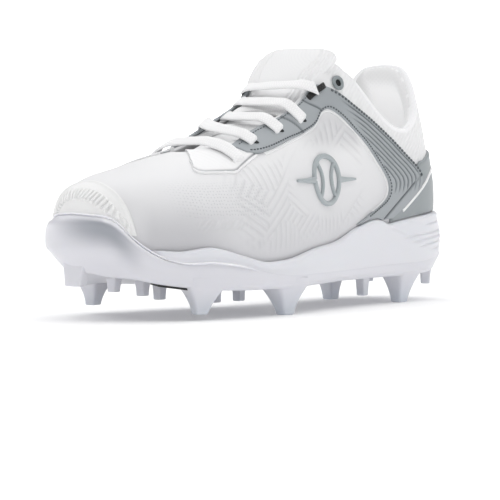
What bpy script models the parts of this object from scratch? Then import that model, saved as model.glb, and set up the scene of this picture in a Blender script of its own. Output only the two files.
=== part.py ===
"""A left softball cleat, standing on its studs.

Tables are in millimetres: x from the back of the heel towards the toe, y towards the
lateral side and z up from the stud tips. Each row is one section, with its columns named.
"""

import math
from collections import namedtuple

import bmesh
import bpy
import numpy as np

MM = 0.001
LENGTH = 288.0
GAP = 0.3
WALL = 2.0
COLLAR_PAD = 7.0
COLLAR_PAD_REACH, COLLAR_PAD_FADE = 26.0, 25.0
OVERLAY = 1.1
STAY_LIFT = 0.7
PLATE = 4.5
CUP_WALL = 2.4
INSOLE_THICK = 4.0
INSOLE_ROUND = 1.2

# The outsole's side rolls under by ROLL, and by TOE_ROLL more at the tip of the toe.
ROLL, TOE_ROLL, TOE_ROLL_FROM = 5.0, 5.0, 250.0
ROLL_ROUND, ROLL_HIGH = 0.34, 0.9
TOE_WALL = 2.2
SIDE_SOFT, STEP_RISE = 0.5, 0.1

SOLE_STATIONS = 36
UPPER_STATIONS = 38
UPPER_LEVELS = 7
FEATHER_IN = 2.2

# Outline of the sole: centre line and half width, before the two ends are rounded off.
Plan = namedtuple("Plan", "x centre half")
PLAN = (
    Plan(0, 3, 33.5),
    Plan(40, 3, 34),
    Plan(80, 4, 33.5),
    Plan(115, 5.5, 34.5),
    Plan(150, 4.5, 40),
    Plan(180, 2, 46),
    Plan(205, -1, 48),
    Plan(230, -5, 47.5),
    Plan(255, -8.5, 44.5),
    Plan(288, -12, 41),
)
HEEL_ROUND, HEEL_POWER = 40.0, 2.2
TOE_ROUND, TOE_POWER = 74.0, 2.1

# Heights of the sole: underside, top edge of the outsole's side, top edge of the midsole, footbed.
Sole = namedtuple("Sole", "x under outsole midsole bed")
SOLE = (
    Sole(0, 22, 28, 50, 27.5),
    Sole(15, 18.5, 25.5, 49, 27.2),
    Sole(40, 15.5, 22.5, 47, 27),
    Sole(64, 15, 22, 44.6, 26.5),
    Sole(72, 15, 21.8, 43.6, 26.2),
    Sole(80, 15, 21.6, 45.8, 26),
    Sole(106, 15, 21, 42, 25.2),
    Sole(122, 15, 20.8, 37, 24.6),
    Sole(150, 14.4, 20.6, 33.4, 23.2),
    Sole(182, 14, 21, 28.6, 22),
    Sole(200, 14.2, 22.5, 28.2, 21.6),
    Sole(218, 14.4, 25.8, 32.2, 21.6),
    Sole(236, 15, 28.2, 36.4, 22.2),
    Sole(251, 16, 30, 34.7, 24),
    Sole(262, 17.6, 34, 35.4, 26),
    Sole(271, 20.5, 41.5, 35, 28.2),
    Sole(279, 24, 51.5, 36, 31),
    Sole(288, 29, 54.5, 37, 34),
)
MIDSOLE_LEAST = 2.6

# Ribs round the heel of the midsole: levels of the crests and grooves as parts of its side's height.
RIB_CRESTS = (0.15, 0.285, 0.415, 0.545, 0.68)
RIB_DEEP, RIB_FULL, RIB_END = 1.3, 30.0, 48.0

# Sections of the last: height of the widest point, of the ridge line above it, how far the ridge leans
# to the medial side, how full the section is, and how far it stands inside the sole's outline.
Last = namedtuple("Last", "x wide ridge lean full inset")
LAST = (
    Last(0, 58, 143, 0, 2.2, 3.6),
    Last(25, 57, 152, 0, 2.2, 3.6),
    Last(50, 55, 172, 0, 2.2, 3.6),
    Last(80, 52, 176, -1, 2.2, 3.6),
    Last(106, 48, 170, -3, 2.2, 3.6),
    Last(130, 45, 127, -4, 2.2, 3.6),
    Last(160, 42, 104, -4, 2.2, 3.6),
    Last(193, 40, 87.5, -5, 2.2, 3.8),
    Last(225, 42, 79.5, -6, 2.25, 4.0),
    Last(255, 47, 73.5, -6, 2.4, 4.3),
    Last(270, 49, 71.5, -5, 2.4, 4.9),
    Last(288, 50, 69, -3, 2.4, 6.2),
)
TOE_TIP_ROUND, TOE_TIP_POWER, TOE_TIP_Z = 42.0, 2.3, 50.0

# Curve of the heel's back line, faded out over its reach along the shoe.
Back = namedtuple("Back", "z forward")
BACK = (
    Back(20, 0.5),
    Back(48, 0),
    Back(65, 1),
    Back(80, 6.6),
    Back(95, 12),
    Back(110, 18),
    Back(122, 21.5),
    Back(135, 22.5),
)
BACK_REACH = 60.0

# Top line of the collar, and half width of the throat in front of it.
Collar = namedtuple("Collar", "x z")
COLLAR = (
    Collar(0, 130),
    Collar(10, 127.5),
    Collar(22, 117),
    Collar(35, 103),
    Collar(48, 95),
    Collar(60, 95.5),
    Collar(75, 103),
    Collar(90, 115),
    Collar(100, 123),
    Collar(106, 126),
)
Throat = namedtuple("Throat", "x half")
THROAT = (Throat(125, 21.5), Throat(150, 20), Throat(170, 18), Throat(190, 16), Throat(204, 13))
THROAT_BACK, THROAT_NARROWS, THROAT_FRONT = 106.0, 190.0, 206.0

# Tongue: top face on its middle line, how far it reaches under the edges of the opening, and how
# far its edges drop below its middle.
Tongue = namedtuple("Tongue", "x top under crown")
TONGUE = (
    Tongue(212, 75.5, 12, 4),
    Tongue(200, 80.5, 6, 6),
    Tongue(193, 83.5, 4, 8),
    Tongue(175, 91.5, 4, 10),
    Tongue(160, 99.5, 0.5, 10),
    Tongue(145, 108.5, -2, 9),
    Tongue(130, 119.5, -3, 8),
    Tongue(123, 127, -3.2, 5),
    Tongue(117, 132.3, -3, 3),
    Tongue(113, 135.6, -0.5, 2),
    Tongue(110, 138, 3.5, 2),
)
TONGUE_THICK = 5.0
TONGUE_CLEAR, TONGUE_TUCKED_FROM = 4.2, 124.0
TONGUE_CORNER, TONGUE_TOP_WIDE, TONGUE_CORNER_POWER = 0.14, 0.74, 2.5
TONGUE_ROWS, TONGUE_COLUMNS = 16, 7

# Lower and upper edge of the grey stay and saddle strap, from the toe end to the midsole.
Stay = namedtuple("Stay", "upper_x upper_z lower_x lower_z")
STAY = (
    Stay(190, 85.5, 187, 82.5),
    Stay(183, 88.5, 181, 82.5),
    Stay(171, 94, 172, 84.5),
    Stay(157, 99.5, 158, 89),
    Stay(141, 106.5, 146, 92.5),
    Stay(133, 112, 135, 97),
    Stay(126.5, 118, 128, 103.5),
    Stay(117.5, 116, 122.5, 105.5),
    Stay(103, 108.2, 115.5, 102.2),
    Stay(85, 99.6, 105, 95.3),
    Stay(68, 90.4, 92, 86.9),
    Stay(52, 80.6, 81, 77.5),
    Stay(41, 74, 73.2, 70),
    Stay(36.5, 69, 70, 65),
    Stay(38.5, 61.5, 70.5, 59.8),
    Stay(46, 56.5, 75, 55.6),
    Stay(54, 52.5, 84, 51.5),
    Stay(61, 49.5, 94, 47.5),
    Stay(67, 46.5, 103, 44),
)
STAY_COLUMNS = 4

Counter = namedtuple("Counter", "x top")
COUNTER = (
    Counter(0, 84),
    Counter(12, 82),
    Counter(24, 77),
    Counter(28, 73),
    Counter(32, 66.5),
    Counter(40, 59),
    Counter(50, 53.5),
    Counter(58, 49),
)
COUNTER_ROWS, COUNTER_COLUMNS = 13, 4

TOE_CAP_BACK = 270.0
TOE_CAP_TUCK = -0.3
TOE_CAP_ROWS, TOE_CAP_COLUMNS = 7, 7

# Studs: place and height of the tip, its length and width, those of the root in the plate, how far
# the root leans out from the tip along x and y, and the turn in degrees.
Stud = namedtuple("Stud", "x y tip tip_long tip_wide root_long root_wide lean_x lean_y turn")
STUDS = (
    Stud(278.5, -14.5, 17.5, 6.5, 10, 9, 17, 2, 0, 0),
    Stud(236.5, 31.2, 3, 7, 6, 23, 16, -2, 0.8, -22),
    Stud(230, -42.5, 4.8, 7.5, 6, 22, 14, -3, -1, 8),
    Stud(174.5, 39.5, 0, 8, 6.5, 24, 17, 1, -0.4, -6),
    Stud(157, -27.5, 0, 8, 6.5, 20, 14, 0, 0, -10),
    Stud(50, 28, 0, 8, 6.5, 21, 15, 0, 0.8, 0),
    Stud(50, -17.5, 0, 8, 6.5, 21, 15, 0, -0.8, 0),
    Stud(15, 22.5, 8.5, 6, 5, 8.5, 7.5, 0, 0, 35),
    Stud(15, -16.5, 8.5, 6, 5, 8.5, 7.5, 0, 0, -35),
    Stud(82, 25.2, 5, 5, 5, 7, 7, 0, 0, 0),
    Stud(86, -15, 5, 5, 5, 7, 7, 0, 0, 0),
    Stud(251, -12, 13.5, 5, 5, 6.5, 6.5, 0, 0, 0),
    Stud(236, -5.4, 11, 5, 5, 6.5, 6.5, 0, 0, 0),
    Stud(216, -10, 8, 5, 5, 6.5, 6.5, 0, 0, 0),
    Stud(190, 6, 5.8, 5, 5, 6.5, 6.5, 0, 0, 0),
    Stud(165, 3, 5.3, 5, 5, 6.5, 6.5, 0, 0, 0),
)
STUD_SIDES, STUD_LEVELS, STUD_SQUARE, STUD_FLARE, STUD_DEPTH = 10, 3, 3.2, 1.7, 3.4

PAD_FROM, PAD_TO, PAD_IN, PAD_WIDE, PAD_THICK, PAD_ROWS = 250.0, 265.0, 6.5, 12.0, 1.4, 9

# Eyelets of each side, first to last, as station and height on the last.
Eyelet = namedtuple("Eyelet", "x z")
EYELETS = (
    Eyelet(195.5, 78.5),
    Eyelet(178, 87.5),
    Eyelet(160, 93.5),
    Eyelet(142, 99),
    Eyelet(126.5, 112),
)
LACE_WIDE, LACE_THICK, LACE_STEPS, LACE_SIDES = 5.0, 1.8, 10, 6
LACE_OVER_SKIN, LACE_CLEAR, LACE_SLOPE, LACE_ARCH = 4.6, 3.1, 0.5, 4.5
LACE_LEVEL_END = 0.1

GROMMET = Eyelet(112.5, 119.5)
GROMMET_OUTER, GROMMET_INNER, GROMMET_THICK, GROMMET_SIDES = 3.9, 1.8, 1.1, 14

LOOP_WIDE, LOOP_THICK, LOOP_HALF, LOOP_RISE, LOOP_STEPS = 6.5, 1.1, 7.5, 4.2, 10
LOOP_OVER_SKIN = 2.6

# Ball-shaped badge: a ring, two seam arcs inside it and a bar on each side.
BADGE_X, BADGE_Z, BADGE_RADIUS, BADGE_LINE, BADGE_THICK = 134.0, 68.5, 12.5, 2.6, 1.2
BADGE_SEAM_RADIUS, BADGE_SEAM_OFF, BADGE_BAR = 13.0, 17.5, 17.0
BADGE_SEAM_LINE, BADGE_BAR_LINE = 1.6, 3.6
BADGE_RING_STEPS, BADGE_SEAM_STEPS, BADGE_BAR_STEPS = 20, 8, 6

TINY = 0.02
WELD = 2e-5

WHITE = (0.86, 0.86, 0.87)
FOAM = (0.84, 0.84, 0.86)
PLATE_WHITE = (0.80, 0.82, 0.86)
GREY = (0.34, 0.37, 0.39)
BLACK = (0.02, 0.02, 0.022)


def column(table, name):
    field = table[0]._fields.index(name)
    rows = sorted((row[0], row[field]) for row in table)
    return np.array(rows, float).T


def along(table, name, x):
    """One column of a table at x: a cubic through its rows, held at both ends."""
    xs, ys = column(table, name)
    x = np.clip(np.asarray(x, float), xs[0], xs[-1])
    step = np.diff(xs)
    slope = np.diff(ys) / step
    inner = (slope[:-1] * step[1:] + slope[1:] * step[:-1]) / (step[1:] + step[:-1])
    tangent = np.concatenate([slope[:1], inner, slope[-1:]])
    k = np.clip(np.searchsorted(xs, x, side="right") - 1, 0, len(xs) - 2)
    s = (x - xs[k]) / step[k]
    held = ys[k] * (1 + 2 * s) * (1 - s) ** 2 + ys[k + 1] * s * s * (3 - 2 * s)
    return held + step[k] * s * (1 - s) * (tangent[k] * (1 - s) - tangent[k + 1] * s)


def rounded(part, power):
    """1 at part 0, falling to 0 at part 1 as a superellipse does."""
    return (1 - np.clip(part, 0, 1) ** power) ** (1 / power)


def half_width(x):
    heel = rounded((HEEL_ROUND - x) / HEEL_ROUND, HEEL_POWER)
    toe = rounded((x - LENGTH + TOE_ROUND) / TOE_ROUND, TOE_POWER)
    return along(PLAN, "half", x) * heel * toe


def stations(count):
    """Places along the shoe, closer together at the two round ends."""
    return LENGTH * (1 - np.cos(np.linspace(0, math.pi, count))) / 2


def outline(turn, side):
    x = LENGTH * (1 - np.cos(turn)) / 2
    return np.stack([x, along(PLAN, "centre", x) + side * half_width(x)], -1)


def edge(x, side, inset):
    """Points of the sole's outline at station x, moved in by inset square to the outline."""
    turn = np.arccos(np.clip(1 - 2 * np.asarray(x, float) / LENGTH, -1, 1))
    small = 1e-3
    ahead = outline(np.clip(turn + small, 0, math.pi), side)
    run = ahead - outline(np.clip(turn - small, 0, math.pi), side)
    run /= np.linalg.norm(run, axis=-1, keepdims=True)
    out = np.stack([-run[..., 1], run[..., 0]], -1) * side
    tip = np.minimum(turn, math.pi - turn) < 2 * small
    out[tip] = np.stack([np.where(turn < 1, -1.0, 1.0), np.zeros_like(turn)], -1)[tip]
    return outline(turn, side) - out * np.asarray(inset, float)[..., None]


def toe_part(x):
    """0 behind the toe, growing to 1 at its tip."""
    return np.clip((x - TOE_ROLL_FROM) / (LENGTH - TOE_ROLL_FROM), 0, 1)


def ridge_line(x):
    """Place y and height z of the ridge line of the last."""
    toe = rounded((x - LENGTH + TOE_TIP_ROUND) / TOE_TIP_ROUND, TOE_TIP_POWER)
    ends = rounded((HEEL_ROUND - x) / HEEL_ROUND, 2) * rounded((x - LENGTH + TOE_ROUND) / TOE_ROUND, 2)
    y = along(PLAN, "centre", x) + along(LAST, "lean", x) * ends
    return y, TOE_TIP_Z + (along(LAST, "ridge", x) - TOE_TIP_Z) * toe


def feather_z(x):
    return along(SOLE, "bed", x) + GAP


def skin(x, rise, side):
    """Outer face of the upper. rise is -1 at the feather edge, 0 at the widest point, 1 on the ridge."""
    x = np.asarray(x, float)
    rise = np.asarray(rise, float)
    full = along(LAST, "full", x)
    wide = along(LAST, "wide", x)
    ridge_y, ridge_z = ridge_line(x)
    below = np.clip(-rise, 0, 1)
    angle = np.clip(rise, 0, 1) * math.pi / 2
    rim = edge(x, side, along(LAST, "inset", x) + FEATHER_IN * below**2)
    z = wide + (ridge_z - wide) * np.sin(angle) ** (2 / full) + (feather_z(x) - wide) * below
    y = ridge_y + (rim[..., 1] - ridge_y) * np.cos(angle) ** (2 / full)
    fade = np.clip(1 - x / BACK_REACH, 0, 1) ** 2
    return np.stack([rim[..., 0] + along(BACK, "forward", z) * fade, y, z], -1)


def skin_normal(x, rise, side):
    x = np.clip(np.asarray(x, float), TINY, LENGTH - TINY)
    rise = np.clip(np.asarray(rise, float), -1 + TINY, 1 - TINY)
    run = skin(x + TINY, rise, side) - skin(x - TINY, rise, side)
    up = skin(x, rise + TINY, side) - skin(x, rise - TINY, side)
    out = np.cross(up, run) * side
    return out / np.maximum(np.linalg.norm(out, axis=-1, keepdims=True), 1e-9)


def rise_at_z(x, z):
    wide = along(LAST, "wide", x)
    above = np.clip((z - wide) / np.maximum(ridge_line(x)[1] - wide, 1e-6), 0, 1)
    upper = np.arcsin(above ** (along(LAST, "full", x) / 2)) * 2 / math.pi
    return np.where(z < wide, (z - wide) / (wide - feather_z(x)), upper)


def rise_at_half(x, half, side):
    """rise where the skin stands half to one side of the ridge line."""
    rim = edge(x, side, along(LAST, "inset", x))
    reach = np.maximum(np.abs(rim[..., 1] - ridge_line(x)[0]), 1e-6)
    return np.arccos(np.clip(half / reach, 0, 1) ** (along(LAST, "full", x) / 2)) * 2 / math.pi


def rim_rise(x, side):
    """rise of the opening's edge: the collar, then the throat, then none on the closed vamp."""
    x = np.asarray(x, float)
    corner = np.array([THROAT_BACK])
    corner_rise = rise_at_z(corner, along(COLLAR, "z", corner))
    corner_half = abs(skin(corner, corner_rise, side)[0, 1] - ridge_line(corner)[0][0])
    throat = (Throat(THROAT_BACK, corner_half),) + THROAT
    narrow = rounded((x - THROAT_NARROWS) / (THROAT_FRONT - THROAT_NARROWS), 2)
    front = rise_at_half(x, along(throat, "half", x) * narrow, side)
    front = np.where(x < THROAT_FRONT, front, 1.0)
    return np.where(x < THROAT_BACK, rise_at_z(x, along(COLLAR, "z", x)), front)


def on_skin(x, z, side, lift):
    """Points at height z on the skin, lifted off it along its normal."""
    x = np.asarray(x, float)
    rise = rise_at_z(x, np.asarray(z, float))
    return skin(x, rise, side) + skin_normal(x, rise, side) * np.asarray(lift, float)[..., None]


OUTLINE_Y = np.concatenate([outline(np.linspace(0, math.pi, SOLE_STATIONS), side)[:, 1] for side in (1, -1)])
CENTRE = np.array([LENGTH / 2, (OUTLINE_Y.max() + OUTLINE_Y.min()) / 2, 0.0])


def clear_scene():
    for item in list(bpy.data.objects):
        bpy.data.objects.remove(item, do_unlink=True)


def new_collection(name):
    made = bpy.data.collections.new(name)
    bpy.context.scene.collection.children.link(made)
    return made


def new_material(name, colour, roughness, metallic=0.0):
    made = bpy.data.materials.new(name)
    made.use_nodes = True
    shader = made.node_tree.nodes["Principled BSDF"]
    shader.inputs["Base Color"].default_value = (*colour, 1.0)
    shader.inputs["Roughness"].default_value = roughness
    shader.inputs["Metallic"].default_value = metallic
    return made


def add_grid(mesh, points):
    """A grid of quads through an array of points, rows by columns."""
    rows, columns = points.shape[:2]
    flat = (points.reshape(-1, 3) - CENTRE) * MM
    verts = [mesh.verts.new(point) for point in flat]
    for i in range(rows - 1):
        for j in range(columns - 1):
            a = i * columns + j
            mesh.faces.new((verts[a], verts[a + columns], verts[a + columns + 1], verts[a + 1]))
    return verts


def new_object(name, mesh, collection, material):
    data = bpy.data.meshes.new(name)
    mesh.to_mesh(data)
    mesh.free()
    data.materials.append(material)
    data.shade_smooth()
    made = bpy.data.objects.new(name, data)
    collection.objects.link(made)
    return made


def facing_out(points, side):
    """The grid with its columns turned round where its faces would look into the shoe."""
    across = np.cross(points[1:, :-1] - points[:-1, :-1], points[:-1, 1:] - points[:-1, :-1])
    return points if across[..., 1].sum() * side > 0 else points[:, ::-1]


def sheet(name, grids, collection, material):
    """One open surface from grids that share their edges."""
    mesh = bmesh.new()
    for points in grids:
        add_grid(mesh, points)
    bmesh.ops.remove_doubles(mesh, verts=mesh.verts, dist=WELD)
    bmesh.ops.dissolve_degenerate(mesh, edges=mesh.edges, dist=WELD / 2)
    return new_object(name, mesh, collection, material)


def thicken(item, thickness, outwards):
    wall = item.modifiers.new("Wall", "SOLIDIFY")
    wall.thickness = thickness * MM
    wall.offset = 1.0 if outwards else -1.0
    wall.use_quality_normals = True
    return wall


def ring_solid(name, rings, collection, material):
    """A closed body through rings of the sole, each as lateral and medial points from heel to toe."""
    mesh = bmesh.new()
    loops = []
    for lateral, medial in rings:
        points = np.concatenate([lateral, medial[-2:0:-1]])
        loops.append([mesh.verts.new(point) for point in (points - CENTRE) * MM])
    size = len(loops[0])
    for low, high in zip(loops, loops[1:]):
        for k in range(size):
            after = (k + 1) % size
            mesh.faces.new((low[k], low[after], high[after], high[k]))
    for loop in (loops[0], loops[-1]):
        last = len(rings[0][0]) - 1
        for i in range(last):
            corners = (loop[i], loop[i + 1], loop[(size - i - 1) % size], loop[(size - i) % size])
            mesh.faces.new(tuple(dict.fromkeys(corners)))
    bmesh.ops.recalc_face_normals(mesh, faces=mesh.faces)
    return new_object(name, mesh, collection, material)


def sole_ring(x, inset, z):
    """One ring of the sole at height z, moved in from the outline."""
    inset = np.broadcast_to(np.asarray(inset, float), x.shape)
    z = np.broadcast_to(np.asarray(z, float), x.shape)
    return tuple(np.column_stack([edge(x, side, inset), z]) for side in (1, -1))


def under_ring(x, inset, lift):
    """One ring of the sole at a height over the underside below each of its points."""
    places = (edge(x, side, inset) for side in (1, -1))
    return tuple(np.column_stack([place, along(SOLE, "under", place[:, 0]) + lift]) for place in places)


def join(target, forms):
    """Joins each form onto the target, in order."""
    for form in forms:
        form.hide_render = True
        form.display_type = "WIRE"
        step = target.modifiers.new(form.name, "BOOLEAN")
        step.operation = "UNION"
        step.object = form
        step.solver = "EXACT"


def stud_solid(row, index, collection, material):
    """A tapered block with rounded corners, flared towards its root."""
    mesh = bmesh.new()
    angle = np.linspace(0, 2 * math.pi, STUD_SIDES, endpoint=False) + math.pi / STUD_SIDES
    cos, sin = np.cos(angle), np.sin(angle)
    block = np.stack([np.sign(side) * abs(side) ** (2 / STUD_SQUARE) for side in (cos, sin)], -1)
    turn = math.radians(row.turn)
    spin = np.array([[math.cos(turn), math.sin(turn)], [-math.sin(turn), math.cos(turn)]])
    root = float(along(SOLE, "under", row.x)) + STUD_DEPTH
    tip_size = np.array([row.tip_long, row.tip_wide])
    root_size = np.array([row.root_long, row.root_wide])
    loops = []
    for part in np.linspace(0, 1, STUD_LEVELS):
        size = tip_size + (root_size - tip_size) * part**STUD_FLARE
        middle = np.array([row.x, row.y]) + np.array([row.lean_x, row.lean_y]) * part
        flat = block * size / 2 @ spin + middle
        points = np.column_stack([flat, np.full(STUD_SIDES, row.tip + (root - row.tip) * part)])
        loops.append([mesh.verts.new(point) for point in (points - CENTRE) * MM])
    for low, high in zip(loops, loops[1:]):
        for k in range(STUD_SIDES):
            after = (k + 1) % STUD_SIDES
            mesh.faces.new((low[k], low[after], high[after], high[k]))
    mesh.faces.new(loops[0])
    mesh.faces.new(loops[-1])
    bmesh.ops.recalc_face_normals(mesh, faces=mesh.faces)
    return new_object(f"stud_form_{index}", mesh, collection, material)


def make_outsole(parts, forms):
    """A tray whose side rises into the toe bumper, with the studs joined on."""
    material = new_material("moulded_plate", PLATE_WHITE, 0.35)
    x = stations(SOLE_STATIONS)
    under = along(SOLE, "under", x)
    top = along(SOLE, "outsole", x)
    floor = under + PLATE
    roll = ROLL + TOE_ROLL * toe_part(x)
    wall = under + ROLL_HIGH * roll
    rings = (
        under_ring(x, roll, 0.0),
        under_ring(x, ROLL_ROUND * roll, ROLL_ROUND * roll),
        sole_ring(x, SIDE_SOFT, wall),
        sole_ring(x, 0.0, (wall + top) / 2),
        sole_ring(x, SIDE_SOFT, top),
        sole_ring(x, CUP_WALL, top),
        sole_ring(x, CUP_WALL + TOE_WALL * toe_part(x), floor),
    )
    outsole = ring_solid("outsole", rings, parts, material)
    join(outsole, [stud_solid(row, k, forms, material) for k, row in enumerate(STUDS)])


def rib_rings(x, side, step, top):
    """Rings up the midsole's side: crests with grooves between, which fade out in front of the heel."""
    deep = RIB_DEEP * np.clip((RIB_END - x) / (RIB_END - RIB_FULL), 0, 1)
    rings = []
    for k, crest in enumerate(RIB_CRESTS):
        if k > 0:
            groove = (RIB_CRESTS[k - 1] + crest) / 2
            rings.append(sole_ring(x, side + deep, step + (top - step) * groove))
        rings.append(sole_ring(x, side, step + (top - step) * crest))
    return rings


def make_midsole(parts):
    """A cup inside the outsole's side that steps out over its top edge and holds the upper."""
    material = new_material("moulded_foam", FOAM, 0.6)
    x = stations(SOLE_STATIONS)
    floor = along(SOLE, "under", x) + PLATE + GAP
    bed = along(SOLE, "bed", x)
    top = along(SOLE, "midsole", x)
    step = along(SOLE, "outsole", x) + GAP
    shown = top - step > MIDSOLE_LEAST
    inside = CUP_WALL + GAP + TOE_WALL * toe_part(x)
    side = np.where(shown, 0.0, inside)
    step = np.where(shown, step, top - GAP)
    lip = along(LAST, "inset", x) - GAP
    tuck = along(LAST, "inset", x) + FEATHER_IN - 2 * GAP
    rings = [
        sole_ring(x, inside + GAP, floor),
        sole_ring(x, inside, step),
        sole_ring(x, np.where(shown, SIDE_SOFT, inside), step + STEP_RISE),
        *rib_rings(x, side, step + STEP_RISE, top),
        sole_ring(x, np.where(shown, SIDE_SOFT, inside), top),
        sole_ring(x, lip, top + STEP_RISE),
        sole_ring(x, tuck, bed),
    ]
    ring_solid("midsole", rings, parts, material)


def make_forefoot_pad(parts):
    """A thin dark plate under the lateral edge of the forefoot."""
    material = new_material("dark_rubber", BLACK, 0.6)
    x = np.linspace(PAD_FROM, PAD_TO, PAD_ROWS)
    columns = []
    for part in (0, 0.5, 1):
        place = edge(x, 1, np.full_like(x, PAD_IN + PAD_WIDE * part))
        columns.append(np.column_stack([place, along(SOLE, "under", place[:, 0]) - 2 * GAP]))
    pad = sheet("forefoot_pad", [np.stack(columns, 1)], parts, material)
    thicken(pad, PAD_THICK, outwards=True)


def make_insole(parts):
    material = new_material("knit_footbed", WHITE, 0.9)
    x = stations(SOLE_STATIONS)
    bed = along(SOLE, "bed", x) + GAP
    inset = along(LAST, "inset", x) + FEATHER_IN + WALL + 3 * GAP
    rings = (
        sole_ring(x, inset, bed),
        sole_ring(x, inset, bed + INSOLE_THICK - INSOLE_ROUND),
        sole_ring(x, inset + INSOLE_ROUND, bed + INSOLE_THICK),
    )
    ring_solid("insole", rings, parts, material)


def skin_grid(x, levels, side, lift):
    """Points on the skin, station by level, faced so that both sides look out."""
    x = np.broadcast_to(x[:, None], levels.shape)
    return facing_out(skin(x, levels, side) + skin_normal(x, levels, side) * lift, side)


def upper_levels(x, side):
    """Levels from the feather edge to the opening's edge at each station."""
    below = np.array([-1.0, -0.5])
    above = np.linspace(0, 1, UPPER_LEVELS)
    rim = rim_rise(x, side)
    return np.concatenate([np.broadcast_to(below, (len(x), len(below))), rim[:, None] * above], 1)


def make_upper(parts):
    """One hollow wall, thicker where the collar is padded."""
    material = new_material("knit_and_film", WHITE, 0.6)
    x = stations(UPPER_STATIONS)
    grids = [skin_grid(x, upper_levels(x, side), side, 0.0) for side in (1, -1)]
    upper = sheet("upper", grids, parts, material)
    wall = thicken(upper, COLLAR_PAD, outwards=False)
    group = upper.vertex_groups.new(name="padding")
    for vert in upper.data.vertices:
        place = np.array(vert.co) / MM + CENTRE
        below_rim = along(COLLAR, "z", place[0]) - place[2]
        padded = np.clip(1 - below_rim / COLLAR_PAD_REACH, 0, 1)
        padded *= np.clip((THROAT_BACK - place[0]) / COLLAR_PAD_FADE, 0, 1)
        group.add([vert.index], float((WALL + (COLLAR_PAD - WALL) * padded) / COLLAR_PAD), "REPLACE")
    wall.vertex_group = group.name


def make_toe_cap(parts):
    """A moulded cap over the front of the toe box, tucked behind the bumper."""
    material = new_material("toe_film", WHITE, 0.45)
    x = TOE_CAP_BACK + (LENGTH - TOE_CAP_BACK) * np.sin(np.linspace(0, math.pi / 2, TOE_CAP_ROWS))
    levels = np.broadcast_to(np.linspace(TOE_CAP_TUCK, 1, TOE_CAP_COLUMNS), (len(x), TOE_CAP_COLUMNS))
    cap = sheet("toe_cap", [skin_grid(x, levels, side, GAP) for side in (1, -1)], parts, material)
    thicken(cap, OVERLAY, outwards=True)


def make_eyestay(parts, side, name):
    """The grey lace stay that runs on as a strap below the collar and down to the midsole."""
    material = new_material(f"grey_film_{name}", GREY, 0.5)
    rows = np.array(STAY, float)
    part = np.linspace(0, 1, STAY_COLUMNS)
    x = rows[:, :1] + (rows[:, 2:3] - rows[:, :1]) * part
    z = rows[:, 1:2] + (rows[:, 3:4] - rows[:, 1:2]) * part
    z = np.maximum(z, along(SOLE, "midsole", x) + 3 * GAP)
    points = on_skin(x, z, side, np.full_like(x, STAY_LIFT))
    stay = sheet(name, [facing_out(points, side)], parts, material)
    thicken(stay, OVERLAY, outwards=True)


def make_heel_counter(parts):
    material = new_material("grey_film_counter", GREY, 0.5)
    x = COUNTER[-1].x * (1 - np.cos(np.linspace(0, math.pi / 2, COUNTER_ROWS)))
    low = along(SOLE, "midsole", x) + 2 * GAP
    high = along(COUNTER, "top", x)
    part = np.linspace(0, 1, COUNTER_COLUMNS)
    z = low[:, None] + (high - low)[:, None] * part
    wide_x = np.broadcast_to(x[:, None], z.shape)
    grids = []
    for side in (1, -1):
        grids.append(facing_out(on_skin(wide_x, z, side, np.full_like(z, GAP)), side))
    counter = sheet("heel_counter", grids, parts, material)
    thicken(counter, OVERLAY, outwards=True)


def opening_middle(x):
    """Middle line of the throat and half its width at x."""
    lateral, medial = (skin(x, rim_rise(x, side), side)[..., 1] for side in (1, -1))
    return (lateral + medial) / 2, (lateral - medial) / 2


def tongue_half(x):
    return opening_middle(x)[1] + along(TONGUE, "under", x)


def tongue_top(x, y):
    """Height of the tongue's top face: a crowned strip below the opening."""
    drop = along(TONGUE, "crown", x) * ((y - opening_middle(x)[0]) / tongue_half(x)) ** 2
    return along(TONGUE, "top", x) - drop


def skin_top(x, y):
    """Height of the skin over a place, or a low value where the throat is open."""
    side = np.where(y > ridge_line(x)[0], 1, -1)
    height = np.full(np.shape(x), -1.0)
    for sign in (1, -1):
        rise = rise_at_half(x, np.abs(y - ridge_line(x)[0]), sign)
        there = (side == sign) & (rise <= rim_rise(x, sign) + TINY)
        height = np.where(there, skin(x, rise, sign)[..., 2], height)
    return height


def make_tongue(parts):
    """A padded strip under the throat, with its top corners rounded off."""
    material = new_material("tongue_knit", WHITE, 0.8)
    xs = np.linspace(TONGUE[-1].x, TONGUE[0].x, TONGUE_ROWS)
    part = np.linspace(-1, 1, TONGUE_COLUMNS)
    near_top = (xs - xs[0]) / (xs[-1] - xs[0]) / TONGUE_CORNER
    corner = rounded(1 - near_top, TONGUE_CORNER_POWER)
    half = tongue_half(xs) * (TONGUE_TOP_WIDE + (1 - TONGUE_TOP_WIDE) * corner)
    x = np.broadcast_to(xs[:, None], (len(xs), len(part)))
    y = opening_middle(x)[0] + half[:, None] * part
    z = tongue_top(x, y)
    over = skin_top(x, y)
    z = np.where((over > 0) & (x > TONGUE_TUCKED_FROM), np.minimum(z, over - TONGUE_CLEAR), z)
    points = np.stack([x, y, z], -1)
    tongue = sheet("tongue", [points], parts, material)
    thicken(tongue, TONGUE_THICK, outwards=False)


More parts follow.
